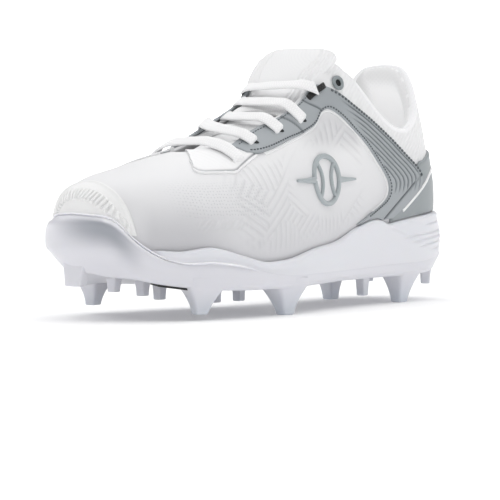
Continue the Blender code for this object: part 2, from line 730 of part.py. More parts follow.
def sweep(name, path, wide, thick, across, collection, material):
    """A flat cord along a path: an oval section, broad along across at each point."""
    run = np.gradient(path, axis=0)
    run /= np.linalg.norm(run, axis=1, keepdims=True)
    up = np.cross(run, across)
    up /= np.linalg.norm(up, axis=1, keepdims=True)
    broad = np.cross(up, run)
    angle = np.linspace(0, 2 * math.pi, LACE_SIDES, endpoint=False)
    mesh = bmesh.new()
    loops = []
    for point, b, u in zip(path, broad, up):
        ring = point + np.outer(np.cos(angle), b) * wide / 2 + np.outer(np.sin(angle), u) * thick / 2
        loops.append([mesh.verts.new(place) for place in (ring - CENTRE) * MM])
    for low, high in zip(loops, loops[1:]):
        for k in range(LACE_SIDES):
            after = (k + 1) % LACE_SIDES
            mesh.faces.new((low[k], low[after], high[after], high[k]))
    mesh.faces.new(loops[0])
    mesh.faces.new(loops[-1])
    bmesh.ops.recalc_face_normals(mesh, faces=mesh.faces)
    return new_object(name, mesh, collection, material)


def lace_path(start, end):
    """From one eyelet to another over tongue and stays: level ends, an arch clear of what is below."""
    part = np.linspace(-1, 1, LACE_STEPS + 1)
    blend = (part[:, None] + 1) / 2
    path = start * (1 - blend) + end * blend
    arch = 1 - np.abs(part) ** LACE_ARCH
    below = np.full(len(path), -1.0)
    for off in (-LACE_WIDE / 2, 0.0, LACE_WIDE / 2):
        x, y = path[:, 0] + off, path[:, 1]
        cover = np.maximum(skin_top(x, y) + 2 * OVERLAY, tongue_top(x, y))
        below = np.maximum(below, cover + LACE_SLOPE * off)
    inner = arch > LACE_LEVEL_END
    rise = ((below + LACE_CLEAR - path[:, 2])[inner] / arch[inner]).max()
    path[:, 2] += max(rise, 0) * arch
    return path


def make_lace(parts, forms):
    """The first bar, the crossings and the top bar, joined where they meet."""
    material = new_material("flat_lace", WHITE, 0.85)
    holes = {}
    for side in (1, -1):
        x = np.array([row.x for row in EYELETS])
        z = np.array([row.z for row in EYELETS])
        holes[side] = on_skin(x, z, side, np.full(len(x), LACE_OVER_SKIN))
    last = len(EYELETS) - 1
    runs = [(holes[1][0], holes[-1][0]), (holes[1][last], holes[-1][last])]
    for k in range(last):
        runs.append((holes[1][k], holes[-1][k + 1]))
        runs.append((holes[-1][k], holes[1][k + 1]))
    bars = []
    for k, (start, end) in enumerate(runs):
        path = lace_path(start, end)
        across = np.tile(np.array([1.0, 0.0, -LACE_SLOPE]), (len(path), 1))
        name, where = ("lace", parts) if k == 0 else (f"lace_form_{k}", forms)
        bars.append(sweep(name, path, LACE_WIDE, LACE_THICK, across, where, material))
    join(bars[0], bars[1:])


def make_grommet(parts, side, name):
    """A flat ring on the knit flap above the stay."""
    material = new_material(f"eyelet_ring_{name}", GREY, 0.4)
    angle = np.linspace(0, 2 * math.pi, GROMMET_SIDES + 1)
    radius = np.array([GROMMET_INNER, GROMMET_OUTER])
    x = GROMMET.x + np.outer(np.cos(angle), radius)
    z = GROMMET.z + np.outer(np.sin(angle), radius)
    points = on_skin(x, z, side, np.full_like(x, GAP))
    ring = sheet(name, [facing_out(points, side)], parts, material)
    thicken(ring, GROMMET_THICK, outwards=True)


def make_lace_loop(parts, side, name):
    """A short webbing arch over the end of the top bar, sewn to the stay at both feet."""
    material = new_material(f"webbing_{name}", BLACK, 0.7)
    top = EYELETS[-1]
    part = np.linspace(-1, 1, LOOP_STEPS + 1)
    x = top.x + part * LOOP_HALF
    lift = LOOP_OVER_SKIN + LOOP_RISE * (1 - part**4)
    path = on_skin(x, np.full_like(x, top.z + 1.0), side, lift)
    rise = rise_at_z(x, np.full_like(x, top.z))
    up = skin(x, rise + TINY, side) - skin(x, rise - TINY, side)
    sweep(name, path, LOOP_WIDE, LOOP_THICK, up, parts, material)


def badge_band(name, x, z, width, collection, material):
    """A raised line on the skin through side-view points, with a round of quads to each step."""
    run = np.stack([np.gradient(x), np.gradient(z)], -1)
    run /= np.linalg.norm(run, axis=1, keepdims=True)
    part = np.array([-0.5, 0.5]) * width
    wide_x = x[:, None] - run[:, 1:] * part
    wide_z = z[:, None] + run[:, :1] * part
    points = on_skin(wide_x, wide_z, 1, np.full_like(wide_x, GAP))
    band = sheet(name, [facing_out(points, 1)], collection, material)
    thicken(band, BADGE_THICK, outwards=True)
    return band


def make_side_badge(parts, forms):
    """A plain ball outline with seam arcs and a bar on each side, raised on the lateral quarter."""
    material = new_material("grey_rubber", GREY, 0.45)
    turn = np.linspace(0, 2 * math.pi, BADGE_RING_STEPS + 1)
    ring_x = BADGE_X + BADGE_RADIUS * np.cos(turn)
    ring_z = BADGE_Z + BADGE_RADIUS * np.sin(turn)
    ring = badge_band("side_badge", ring_x, ring_z, BADGE_LINE, parts, material)
    squares = BADGE_SEAM_OFF**2 + BADGE_SEAM_RADIUS**2 - BADGE_RADIUS**2
    reach = math.acos(squares / (2 * BADGE_SEAM_OFF * BADGE_SEAM_RADIUS))
    lines = []
    for end, word in ((1, "front"), (-1, "back")):
        arc = np.linspace(-reach, reach, BADGE_SEAM_STEPS + 1)
        x = BADGE_X + end * (BADGE_SEAM_OFF - BADGE_SEAM_RADIUS * np.cos(arc))
        z = BADGE_Z + BADGE_SEAM_RADIUS * np.sin(arc)
        lines.append(badge_band(f"badge_seam_{word}", x, z, BADGE_SEAM_LINE, forms, material))
        bar = BADGE_X + end * np.linspace(BADGE_RADIUS, BADGE_RADIUS + BADGE_BAR, BADGE_BAR_STEPS + 1)
        height = np.full_like(bar, BADGE_Z)
        lines.append(badge_band(f"badge_bar_{word}", bar, height, BADGE_BAR_LINE, forms, material))
    join(ring, lines)


def main():
    clear_scene()
    parts = new_collection("softball_cleat")
    forms = new_collection("joined_forms")
    make_outsole(parts, forms)
    make_midsole(parts)
    make_forefoot_pad(parts)
    make_insole(parts)
    make_upper(parts)
    make_toe_cap(parts)
    make_heel_counter(parts)
    make_tongue(parts)
    make_lace(parts, forms)
    make_side_badge(parts, forms)
    for side, word in ((1, "lateral"), (-1, "medial")):
        make_eyestay(parts, side, f"eyestay_{word}")
        make_grommet(parts, side, f"grommet_{word}")
        make_lace_loop(parts, side, f"lace_loop_{word}")


main()
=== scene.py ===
import math

import bmesh
import bpy
import numpy as np
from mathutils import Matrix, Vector


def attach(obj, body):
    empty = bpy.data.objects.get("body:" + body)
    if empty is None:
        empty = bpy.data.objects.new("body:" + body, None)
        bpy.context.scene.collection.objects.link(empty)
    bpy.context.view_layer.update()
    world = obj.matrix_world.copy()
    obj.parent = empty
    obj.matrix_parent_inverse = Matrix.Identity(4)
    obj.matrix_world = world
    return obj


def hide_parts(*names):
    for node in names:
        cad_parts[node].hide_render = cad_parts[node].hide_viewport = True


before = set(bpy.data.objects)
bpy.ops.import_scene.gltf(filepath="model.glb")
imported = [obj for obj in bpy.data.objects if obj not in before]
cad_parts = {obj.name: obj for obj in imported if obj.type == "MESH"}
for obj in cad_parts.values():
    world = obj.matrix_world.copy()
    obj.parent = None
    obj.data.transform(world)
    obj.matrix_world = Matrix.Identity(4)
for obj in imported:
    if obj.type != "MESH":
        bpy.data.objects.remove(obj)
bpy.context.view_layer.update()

# A left softball cleat. Shoe sizes are millimetres: x from heel to toe, y to the lateral side,
# z up from the stud tips.
mm = 0.001
length = 288.0
gap = 0.3
tiny = 0.02
edgeHigh = 0.45  # height of a film's rounded edge, as a part of its thickness
bothSides = (("lateral", 1), ("medial", -1))

plan = dict(  # outline of the sole: centre line and half width, before both ends are rounded off
    at=(0, 40, 80, 115, 150, 180, 205, 230, 255, 288),
    centre=(3, 3, 4, 5.5, 4.5, 2, -1, -5, -8.5, -12),
    half=(33.5, 34, 33.5, 34.5, 40, 46, 48, 47.5, 44.5, 41),
    heelRound=40.0, heelPower=2.2, toeRound=74.0, toePower=2.1,
)
sole = dict(  # heights: underside, top edge of the plate's side, top edge of the midsole, footbed
    at=(0, 15, 40, 64, 72, 80, 106, 122, 150, 182, 200, 218, 236, 251, 262, 271, 279, 288),
    under=(19.5, 17.4, 15.5, 15, 15, 15, 15, 15, 14.4, 14, 14.2, 14.4, 15.4, 17.2, 19.2, 21.8, 24.6, 29),
    plate=(28, 25.5, 22.5, 22, 21.8, 21.6, 21, 20.8, 20.6, 21, 23, 27.2, 29.6, 29.8, 34, 41.5, 51.5, 54.5),
    foam=(50, 49, 47, 44.6, 43.6, 45.8, 42, 37, 33.4, 28.6, 28.2, 32.2, 36.4, 34.7, 35.4, 35, 36, 37),
    bed=(27.5, 27.2, 27, 26.5, 26.2, 26, 25.2, 24.6, 23.2, 22, 21.6, 21.6, 22.2, 24, 26, 28.2, 31, 34),
)
last = dict(  # sections of the upper: widest point, ridge line, lean to the medial side, fullness, inset
    at=(0, 25, 50, 80, 106, 130, 160, 193, 225, 255, 270, 288),
    wide=(58, 57, 55, 52, 48, 45, 42, 40, 42, 47, 49, 50),
    ridge=(143, 152, 172, 176, 170, 127, 104, 87.5, 79.5, 73.5, 71.5, 69),
    lean=(0, 0, 0, -1, -3, -4, -4, -5, -6, -6, -5, -3),
    full=(2.2, 2.2, 2.2, 2.2, 2.2, 2.2, 2.2, 2.2, 2.25, 2.4, 2.4, 2.4),
    inset=(3.6, 3.6, 3.6, 3.6, 3.6, 3.6, 3.6, 3.8, 4.0, 4.3, 4.9, 6.2),
    tipRound=42.0, tipPower=2.3, tipZ=50.0, featherIn=2.2, backReach=60.0,
)
backLine = dict(at=(20, 48, 65, 80, 95, 110, 122, 135), forward=(0.5, 0, 1, 6.6, 12, 18, 21.5, 22.5))
collar = dict(
    at=(0, 10, 22, 35, 48, 60, 75, 90, 100, 106),
    top=(130, 127.5, 117, 103, 95, 95.5, 103, 115, 123, 126),
)
throat = dict(at=(125, 150, 170, 190, 204), half=(21.5, 20, 18, 16, 13), back=106.0, narrows=190.0,
              front=206.0)


def along(table, name, at):
    # cubic through one column of a table, slopes weighted by the steps, held at both ends
    xs = np.array(table["at"], float)
    ys = np.array(table[name], float)
    at = np.clip(np.asarray(at, float), xs[0], xs[-1])
    step = np.diff(xs)
    slope = np.diff(ys) / step
    inner = (slope[:-1] * step[1:] + slope[1:] * step[:-1]) / (step[1:] + step[:-1])
    tangent = np.concatenate([slope[:1], inner, slope[-1:]])
    k = np.clip(np.searchsorted(xs, at, side="right") - 1, 0, len(xs) - 2)
    s = (at - xs[k]) / step[k]
    held = ys[k] * (1 + 2 * s) * (1 - s) ** 2 + ys[k + 1] * s * s * (3 - 2 * s)
    return held + step[k] * s * (1 - s) * (tangent[k] * (1 - s) - tangent[k + 1] * s)


def rounded(part, power):  # 1 at part 0, falling to 0 at part 1 as a superellipse does
    return (1 - np.clip(part, 0, 1) ** power) ** (1 / power)


def smooth(low, high, value):  # 0 below low, 1 above high, an S-curve between
    part = np.clip((value - low) / (high - low), 0, 1)
    return part * part * (3 - 2 * part)


def within(span, value):  # 1 inside a span given as (from, full, still full, gone), an S-curve at each end
    return smooth(span[0], span[1], value) * smooth(span[3], span[2], value)


def halfWidth(x):  # the table's half width, rounded off at heel and toe
    heel = rounded((plan["heelRound"] - x) / plan["heelRound"], plan["heelPower"])
    toe = rounded((x - length + plan["toeRound"]) / plan["toeRound"], plan["toePower"])
    return along(plan, "half", x) * heel * toe


def outline(turn, side):  # the sole's edge at a turn from heel (0) to toe (pi)
    x = length * (1 - np.cos(turn)) / 2
    return np.stack([x, along(plan, "centre", x) + side * halfWidth(x)], -1)


def edge(x, side, inset):  # the sole's edge at station x, moved in square to itself
    turn = np.arccos(np.clip(1 - 2 * np.asarray(x, float) / length, -1, 1))
    side = np.broadcast_to(np.asarray(side, float), turn.shape)
    small = 1e-3
    ahead, behind = (outline(np.clip(turn + step, 0, math.pi), side) for step in (small, -small))
    run = ahead - behind
    run /= np.linalg.norm(run, axis=-1, keepdims=True)
    out = np.stack([-run[..., 1], run[..., 0]], -1) * side[..., None]
    tip = np.minimum(turn, math.pi - turn) < 2 * small
    out[tip] = np.stack([np.where(turn < 1, -1.0, 1.0), np.zeros_like(turn)], -1)[tip]
    return outline(turn, side) - out * np.asarray(inset, float)[..., None]


def ridgeLine(x):  # place y and height z of the upper's ridge
    toe = rounded((x - length + last["tipRound"]) / last["tipRound"], last["tipPower"])
    ends = rounded((plan["heelRound"] - x) / plan["heelRound"], 2)
    ends = ends * rounded((x - length + plan["toeRound"]) / plan["toeRound"], 2)
    y = along(plan, "centre", x) + along(last, "lean", x) * ends
    return y, last["tipZ"] + (along(last, "ridge", x) - last["tipZ"]) * toe


def featherZ(x):  # the upper's lower edge, just above the footbed's seat
    return along(sole, "bed", x) + gap


def skin(x, rise, side):
    # outer face of the last: rise is -1 at the feather edge, 0 at the widest point, 1 on the ridge
    x = np.asarray(x, float)
    rise = np.asarray(rise, float)
    full = along(last, "full", x)
    wide = along(last, "wide", x)
    ridgeY, ridgeZ = ridgeLine(x)
    below = np.clip(-rise, 0, 1)
    angle = np.clip(rise, 0, 1) * math.pi / 2
    inset = along(last, "inset", x) + last["featherIn"] * below**2
    rim, other = edge(x, side, inset), edge(x, -np.asarray(side, float), inset)
    out = np.maximum(np.cos(angle), 0) ** (2 / full)
    z = wide + (ridgeZ - wide) * np.sin(angle) ** (2 / full) + (featherZ(x) - wide) * below
    y = ridgeY + (rim[..., 1] - ridgeY) * out
    ridgeX = (rim[..., 0] + other[..., 0]) / 2
    forward = along(backLine, "forward", z) * np.clip(1 - x / last["backReach"], 0, 1) ** 2
    return np.stack([ridgeX + (rim[..., 0] - ridgeX) * out + forward, y, z], -1)


def skinNormal(x, rise, side):
    # cross of the directions up and along, level across the seams so that both sides agree
    inX = np.clip(np.asarray(x, float), tiny, length - tiny)
    inRise = np.clip(np.asarray(rise, float), -1 + tiny, 1 - tiny)
    run = skin(inX + tiny, inRise, side) - skin(inX - tiny, inRise, side)
    up = skin(inX, inRise + tiny, side) - skin(inX, inRise - tiny, side)
    out = np.cross(up, run) * np.broadcast_to(np.asarray(side, float), inX.shape)[..., None]
    seam = (x <= tiny) | (x >= length - tiny) | (np.asarray(rise) >= 1 - tiny)
    out[..., 1] = np.where(seam, 0.0, out[..., 1])
    return out / np.maximum(np.linalg.norm(out, axis=-1, keepdims=True), 1e-9)


def lifted(x, rise, side, lift):  # points on the last, moved off it along its normal
    x, rise, lift = np.broadcast_arrays(*(np.asarray(value, float) for value in (x, rise, lift)))
    return skin(x, rise, side) + skinNormal(x, rise, side) * lift[..., None]


def riseAtZ(x, z):  # rise where the skin has height z: skin's own formula turned round
    wide = along(last, "wide", x)
    above = np.clip((z - wide) / np.maximum(ridgeLine(x)[1] - wide, 1e-6), 0, 1)
    upper = np.arcsin(above ** (along(last, "full", x) / 2)) * 2 / math.pi
    return np.where(z < wide, (z - wide) / (wide - featherZ(x)), upper)


def riseAtHalf(x, half, side):  # rise where the skin stands half to one side of the ridge
    rim = edge(x, side, along(last, "inset", x))
    reach = np.maximum(np.abs(rim[..., 1] - ridgeLine(x)[0]), 1e-6)
    return np.arccos(np.clip(half / reach, 0, 1) ** (along(last, "full", x) / 2)) * 2 / math.pi


def rimRise(x, side):
    # rise of the opening's edge: the collar, then the throat, then none on the closed vamp
    x = np.asarray(x, float)
    corner = np.array([throat["back"]])
    cornerRise = riseAtZ(corner, along(collar, "top", corner))
    cornerHalf = abs(skin(corner, cornerRise, side)[0, 1] - ridgeLine(corner)[0][0])
    halves = dict(at=(throat["back"],) + throat["at"], half=(cornerHalf,) + throat["half"])
    narrow = rounded((x - throat["narrows"]) / (throat["front"] - throat["narrows"]), 2)
    front = riseAtHalf(x, along(halves, "half", x) * narrow, side)
    front = np.where(x < throat["front"], front, 1.0)
    return np.where(x < throat["back"], riseAtZ(x, along(collar, "top", x)), front)


planY = np.concatenate([outline(np.linspace(0, math.pi, 36), side)[:, 1] for _, side in bothSides])
# the frame's origin, under the box's centre
middle = np.array([length / 2, (planY.max() + planY.min()) / 2, 0.0])


def toFrame(points):  # shoe millimetres to the frame's metres
    return (np.asarray(points, float) - middle) * mm


# Meshes


def makePiece(name, grids, material, stands=(), sharp=None):
    # grids of points become quads, joined at shared edges
    places, quads, uvs, marks, base = [], [], [], {}, 0
    names = sorted({mark for grid in grids for mark in grid.get("marks", {})})
    for grid in grids:
        points = grid["points"]
        points = points[None] if points.ndim == 3 else points  # one grid, or a stack of like grids
        index = base + np.arange(points[..., 0].size).reshape(points.shape[:3])
        corners = (index[:, :-1, :-1], index[:, 1:, :-1], index[:, 1:, 1:], index[:, :-1, 1:])
        quads.append(np.stack(corners, -1).reshape(-1, 4))
        places.append(points.reshape(-1, 3))
        uvs.append(np.broadcast_to(grid.get("uv", np.zeros(2)), points.shape[:3] + (2,)).reshape(-1, 2))
        for mark in names:
            value = np.broadcast_to(grid.get("marks", {}).get(mark, 0.0), points.shape[:3])
            marks.setdefault(mark, []).append(value.ravel())
        base += index.size
    quads = np.concatenate(quads)
    mesh = bpy.data.meshes.new(name)
    mesh.from_pydata(toFrame(np.concatenate(places)), [], quads)
    mesh.uv_layers.new(name="surface").data.foreach_set("uv", np.concatenate(uvs)[quads.ravel()].ravel())
    for mark, value in marks.items():
        mesh.attributes.new(mark, "FLOAT", "POINT").data.foreach_set("value", np.concatenate(value))
    work = bmesh.new()
    work.from_mesh(mesh)
    bmesh.ops.remove_doubles(work, verts=work.verts, dist=2e-6)
    bmesh.ops.dissolve_degenerate(work, edges=work.edges, dist=1e-6)
    bmesh.ops.recalc_face_normals(work, faces=work.faces)
    work.to_mesh(mesh)
    work.free()
    mesh.shade_smooth()
    if sharp:
        mesh.set_sharp_from_angle(angle=math.radians(sharp))
    item = bpy.data.objects.new(name, mesh)
    bpy.context.scene.collection.objects.link(item)
    item.data.materials.append(material)
    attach(item, "root")
    if stands:
        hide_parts(*stands)
    return item


def pinched(count, pinch):  # even parts of 0 to 1, with one more close to each end for a crisp rounded edge
    return np.unique(np.concatenate([np.linspace(0, 1, count), [pinch, 1 - pinch]]))


def slab(x, rise, side, low, high, edges=(True, True, True, True), marks=None):
    # a film on the skin: its face at high, rounded down to low at the closed edges, and closed underneath
    high = np.broadcast_to(np.asarray(high, float), x.shape).copy()
    for closed, line in zip(edges, (np.s_[0, :], np.s_[-1, :], np.s_[:, 0], np.s_[:, -1])):
        if closed:
            high[line] = low + (high[line] - low) * edgeHigh
    pads = [(int(edges[0]), int(edges[1])), (int(edges[2]), int(edges[3]))]
    wideX, wideRise = (np.pad(value, pads, mode="edge") for value in (x, rise))
    wideSide = np.pad(np.broadcast_to(np.asarray(side, float), x.shape), pads, mode="edge")
    wideLift = np.pad(high, pads, mode="constant", constant_values=low)
    top = lifted(wideX, wideRise, wideSide, wideLift)
    uv = np.pad(flatUv(lifted(x, rise, side, high)), pads + [(0, 0)], mode="edge")
    marks = {name: np.pad(value, pads, mode="edge") for name, value in (marks or {}).items()}
    return [dict(points=top, uv=uv, marks=marks), dict(points=lifted(x, rise, side, np.full(x.shape, low)))]


def flatUv(points):  # distances along rows and columns of a grid, in mm
    across = np.linalg.norm(np.diff(points, axis=0), axis=-1)
    down = np.linalg.norm(np.diff(points, axis=1), axis=-1)
    u = np.concatenate([np.zeros((1, points.shape[1])), np.cumsum(across, 0)])
    v = np.concatenate([np.zeros((points.shape[0], 1)), np.cumsum(down, 1)], 1)
    return np.stack([u, v], -1)


def sweep(path, across, wide, thick, count=18, square=2.5):
    # a flat-oval section carried along a path: broad along across, thin square to it, pointed at both ends
    path = np.asarray(path, float)
    run = np.gradient(path, axis=0)
    run /= np.linalg.norm(run, axis=1, keepdims=True)
    up = np.cross(run, np.broadcast_to(across, path.shape))
    up /= np.linalg.norm(up, axis=1, keepdims=True)
    broad = np.cross(up, run)
    angle = np.linspace(0, 2 * math.pi, count + 1)
    cos, sin = np.cos(angle), np.sin(angle)
    ring = np.stack([np.sign(part) * np.abs(part) ** (2 / square) for part in (cos, sin)], -1)
    size = np.ones(len(path))
    size[0] = size[-1] = 0.0
    wide, thick = (np.broadcast_to(value, len(path)) * size / 2 for value in (wide, thick))
    points = path[:, None] + ring[None, :, :1] * broad[:, None] * wide[:, None, None]
    points = points + ring[None, :, 1:] * up[:, None] * thick[:, None, None]
    far = np.concatenate([[0], np.cumsum(np.linalg.norm(np.diff(path, axis=0), axis=1))])
    uv = np.stack(np.broadcast_arrays(far[:, None], np.abs(angle - math.pi)[None] * 2), -1)
    return dict(points=points, uv=uv)


# Materials


def hexLinear(code):  # an sRGB hex value as linear red, green, blue and 1
    parts = [int(code[k:k + 2], 16) / 255 for k in (1, 3, 5)]
    return tuple(v / 12.92 if v <= 0.04045 else ((v + 0.055) / 1.055) ** 2.4 for v in parts) + (1.0,)


def addNode(tree, kind, sockets, **settings):
    # a node, its settings, and each socket's value or (node, output)
    node = tree.nodes.new("ShaderNode" + kind)
    for name, value in settings.items():
        setattr(node, name, value)
    for name, value in sockets.items():
        if isinstance(value, tuple) and isinstance(value[0], bpy.types.Node):
            tree.links.new(value[0].outputs[value[1]], node.inputs[name])
        else:
            node.inputs[name].default_value = hexLinear(value) if isinstance(value, str) else value
    return node


def newMaterial(name, colour, roughness, **sockets):
    # plain shader settings, with _ for a space in a socket's name
    material = bpy.data.materials.new(name)
    material.use_nodes = True
    shader = material.node_tree.nodes["Principled BSDF"]
    shader.inputs["Base Color"].default_value = hexLinear(colour)
    shader.inputs["Roughness"].default_value = roughness
    for socket, value in sockets.items():
        shader.inputs[socket.replace("_", " ")].default_value = value
    return material, material.node_tree, shader


def dressed(material, tint, bump):  # the material with a colour and a bump linked to its shader
    links, shader = material.node_tree.links, material.node_tree.nodes["Principled BSDF"]
    links.new(tint.outputs["Result"], shader.inputs["Base Color"])
    links.new(bump.outputs["Normal"], shader.inputs["Normal"])
    return material


waveTurn = 2 * math.pi / 20  # a Wave texture of this scale repeats once a unit


def fusedKnitMaterial():
    # a thin film fused on knit: matt white, with painted shade low down and in marked places, with grain, pinholes,
    # ribs and slashes; the grain and pinholes are drawn coarser than real ones, which would be too fine to show
    size = dict(colour="#EFEFF0", low="#D3D3D6", lowAt=36.0, highAt=92.0, shade="#C4C5C9", paintedShadeColour="#B4B4B8",
                grain=1.3, pinhole=1.9, rib=1.9, slash=2.3, slashTurn=-42.0, grainHigh=0.25,
                slashesHigh=4.0, pinholesHigh=-3.0, ribsHigh=4.5, pinholeShade=0.6)
    material, tree, _ = newMaterial("film_fused_on_knit", size["colour"], 0.55, Sheen_Weight=0.08)
    uv = addNode(tree, "UVMap", {}, uv_map="surface")
    grain = [addNode(tree, "TexWave", {"Vector": (uv, "UV"), "Scale": waveTurn / size["grain"]},
                     bands_direction=way) for way in "XY"]
    knit = addNode(tree, "Math", {0: (grain[0], "Fac"), 1: (grain[1], "Fac")}, operation="MULTIPLY")
    cells = addNode(tree, "TexVoronoi",
                    {"Vector": (uv, "UV"), "Scale": 1 / size["pinhole"], "Randomness": 0.3},
                    voronoi_dimensions="2D", distance="CHEBYCHEV")
    holes = addNode(tree, "MapRange", {"Value": (cells, "Distance"), "From Min": 0.12, "From Max": 0.24,
                                       "To Min": 1.0, "To Max": 0.0})
    ribs = addNode(tree, "TexWave",
                   {"Vector": (uv, "UV"), "Scale": waveTurn / size["rib"], "Distortion": 0.6},
                   bands_direction="DIAGONAL")
    turn = (0, 0, math.radians(size["slashTurn"]))
    slanted = addNode(tree, "Mapping", {"Vector": (uv, "UV"), "Rotation": turn})
    slashes = addNode(tree, "TexWave", {"Vector": (slanted, "Vector"), "Scale": waveTurn / size["slash"]},
                      bands_direction="X")
    relief = addNode(tree, "Math", {0: (knit, "Value"), 1: size["grainHigh"]}, operation="MULTIPLY")
    patterns = dict(slashes=(slashes, "Fac"), pinholes=(holes, "Result"), ribs=(ribs, "Fac"))
    shown = {}
    for name, pattern in patterns.items():  # each pattern shows only in its own field
        field = addNode(tree, "Attribute", {}, attribute_name=name)
        shown[name] = addNode(tree, "Math", {0: pattern, 1: (field, "Fac")}, operation="MULTIPLY")
        relief = addNode(tree, "Math",
                         {0: (shown[name], "Value"), 1: size[name + "High"], 2: (relief, "Value")},
                         operation="MULTIPLY_ADD")
    bump = addNode(tree, "Bump", {"Height": (relief, "Value"), "Strength": 0.35, "Distance": 0.0002})
    coords = addNode(tree, "TexCoord", {})
    place = addNode(tree, "SeparateXYZ", {"Vector": (coords, "Object")})
    # painted shade: the film is greyer towards the bottom
    height = addNode(tree, "MapRange", {"Value": (place, "Z"), "From Min": size["lowAt"] * mm,
                                        "From Max": size["highAt"] * mm})
    film = addNode(tree, "Mix", {"Factor": (height, "Result"), "A": size["low"],
                                 "B": size["colour"]}, data_type="RGBA")
    faint = addNode(tree, "Math", {0: (shown["pinholes"], "Value"), 1: size["pinholeShade"]},
                    operation="MULTIPLY")
    # painted shade: the film is darker where the upper marks it
    dull = addNode(tree, "Attribute", {}, attribute_name="dull")
    film = addNode(tree, "Mix", {"Factor": (dull, "Fac"), "A": (film, "Result"), "B": size["paintedShadeColour"]},
                   data_type="RGBA")
    tint = addNode(tree, "Mix", {"Factor": (faint, "Value"), "A": (film, "Result"),
                                 "B": size["shade"]}, data_type="RGBA")
    return dressed(material, tint, bump)


def grainMaterial(name, colour, roughness, grain, strength, **sockets):
    # a moulded or pressed surface: one colour, a fine grain of the given size in mm, slightly uneven gloss
    material, tree, shader = newMaterial(name, colour, roughness, **sockets)
    coords = addNode(tree, "TexCoord", {})
    noise = addNode(tree, "TexNoise",
                    {"Vector": (coords, "Object"), "Scale": 1 / (grain * mm), "Detail": 3.0})
    bump = addNode(tree, "Bump", {"Height": (noise, "Fac"), "Strength": strength, "Distance": 0.0002})
    gloss = addNode(tree, "MapRange", {"Value": (noise, "Fac"), "To Min": roughness - 0.06,
                                       "To Max": roughness + 0.06})
    tree.links.new(bump.outputs["Normal"], shader.inputs["Normal"])
    tree.links.new(gloss.outputs["Result"], shader.inputs["Roughness"])
    return material


def filmMaterial(name, colour, groove, roughness):
    # a pressed film: satin with a fine grain, darker in the pressed grooves
    material = grainMaterial(name, colour, roughness, 0.8, 0.1)
    tree = material.node_tree
    pressed = addNode(tree, "Attribute", {}, attribute_name="grooves")
    tint = addNode(tree, "Mix", {"Factor": (pressed, "Fac"), "A": colour, "B": groove}, data_type="RGBA")
    tree.links.new(tint.outputs["Result"], tree.nodes["Principled BSDF"].inputs["Base Color"])
    return material


def plateMaterial():
    # injection-moulded polyurethane: satin, bluer at the stud tips, painted shade under the toe's lip, painted
    # highlight on it
    # thick is the colour of the painted shade under the toe's lip, lip that of the painted highlight along it
    size = dict(colour="#DADAE0", tip="#CBD0D9", thick="#9FA2AA", lip="#EFEFF3", tipFrom=16.0, grain=0.7)
    material, tree, _ = newMaterial("moulded_polyurethane", size["colour"], 0.36,
                                    Subsurface_Weight=0.12,
                                    Subsurface_Radius=(0.004, 0.0045, 0.006), IOR=1.5)
    coords = addNode(tree, "TexCoord", {})
    place = addNode(tree, "SeparateXYZ", {"Vector": (coords, "Object")})
    height = addNode(tree, "MapRange", {"Value": (place, "Z"), "From Min": 0.0,
                                        "From Max": size["tipFrom"] * mm, "To Min": 1.0, "To Max": 0.0})
    tint = addNode(tree, "Mix", {"Factor": (height, "Result"), "A": size["colour"],
                                 "B": size["tip"]}, data_type="RGBA")
    # painted shade in the hollow under the toe's lip
    deep = addNode(tree, "Attribute", {}, attribute_name="deep")
    whole = addNode(tree, "Mix", {"Factor": (deep, "Fac"), "A": (tint, "Result"), "B": size["thick"]},
                    data_type="RGBA")
    noise = addNode(tree, "TexNoise", {"Vector": (coords, "Object"), "Scale": 1 / (size["grain"] * mm)})
    bump = addNode(tree, "Bump", {"Height": (noise, "Fac"), "Strength": 0.05, "Distance": 0.0002})
    # painted highlight along the lip
    lip = addNode(tree, "Attribute", {}, attribute_name="lip")
    whole = addNode(tree, "Mix", {"Factor": (lip, "Fac"), "A": (whole, "Result"), "B": size["lip"]},
                    data_type="RGBA")
    return dressed(material, whole, bump)


def wovenMaterial(name, colour, shade, pitch, slant, strength, roughness=0.85):
    # a flat weave: threads cross at a slant, lighter on their crowns and darker between;
    # the pitch is coarser than that of real threads, which would be too fine to show
    material, tree, _ = newMaterial(name, colour, roughness, Sheen_Weight=0.15)
    uv = addNode(tree, "UVMap", {}, uv_map="surface")
    threads = []
    for turn in (slant, -slant):
        tilt = addNode(tree, "Mapping", {"Vector": (uv, "UV"), "Rotation": (0, 0, math.radians(turn))})
        threads.append(addNode(tree, "TexWave", {"Vector": (tilt, "Vector"), "Scale": waveTurn / pitch},
                               bands_direction="X"))
    cross = addNode(tree, "Math", {0: (threads[0], "Fac"), 1: (threads[1], "Fac")}, operation="MULTIPLY")
    tint = addNode(tree, "Mix", {"Factor": (cross, "Value"), "A": shade, "B": colour}, data_type="RGBA")
    bump = addNode(tree, "Bump", {"Height": (cross, "Value"), "Strength": strength, "Distance": 0.0003})
    return dressed(material, tint, bump)


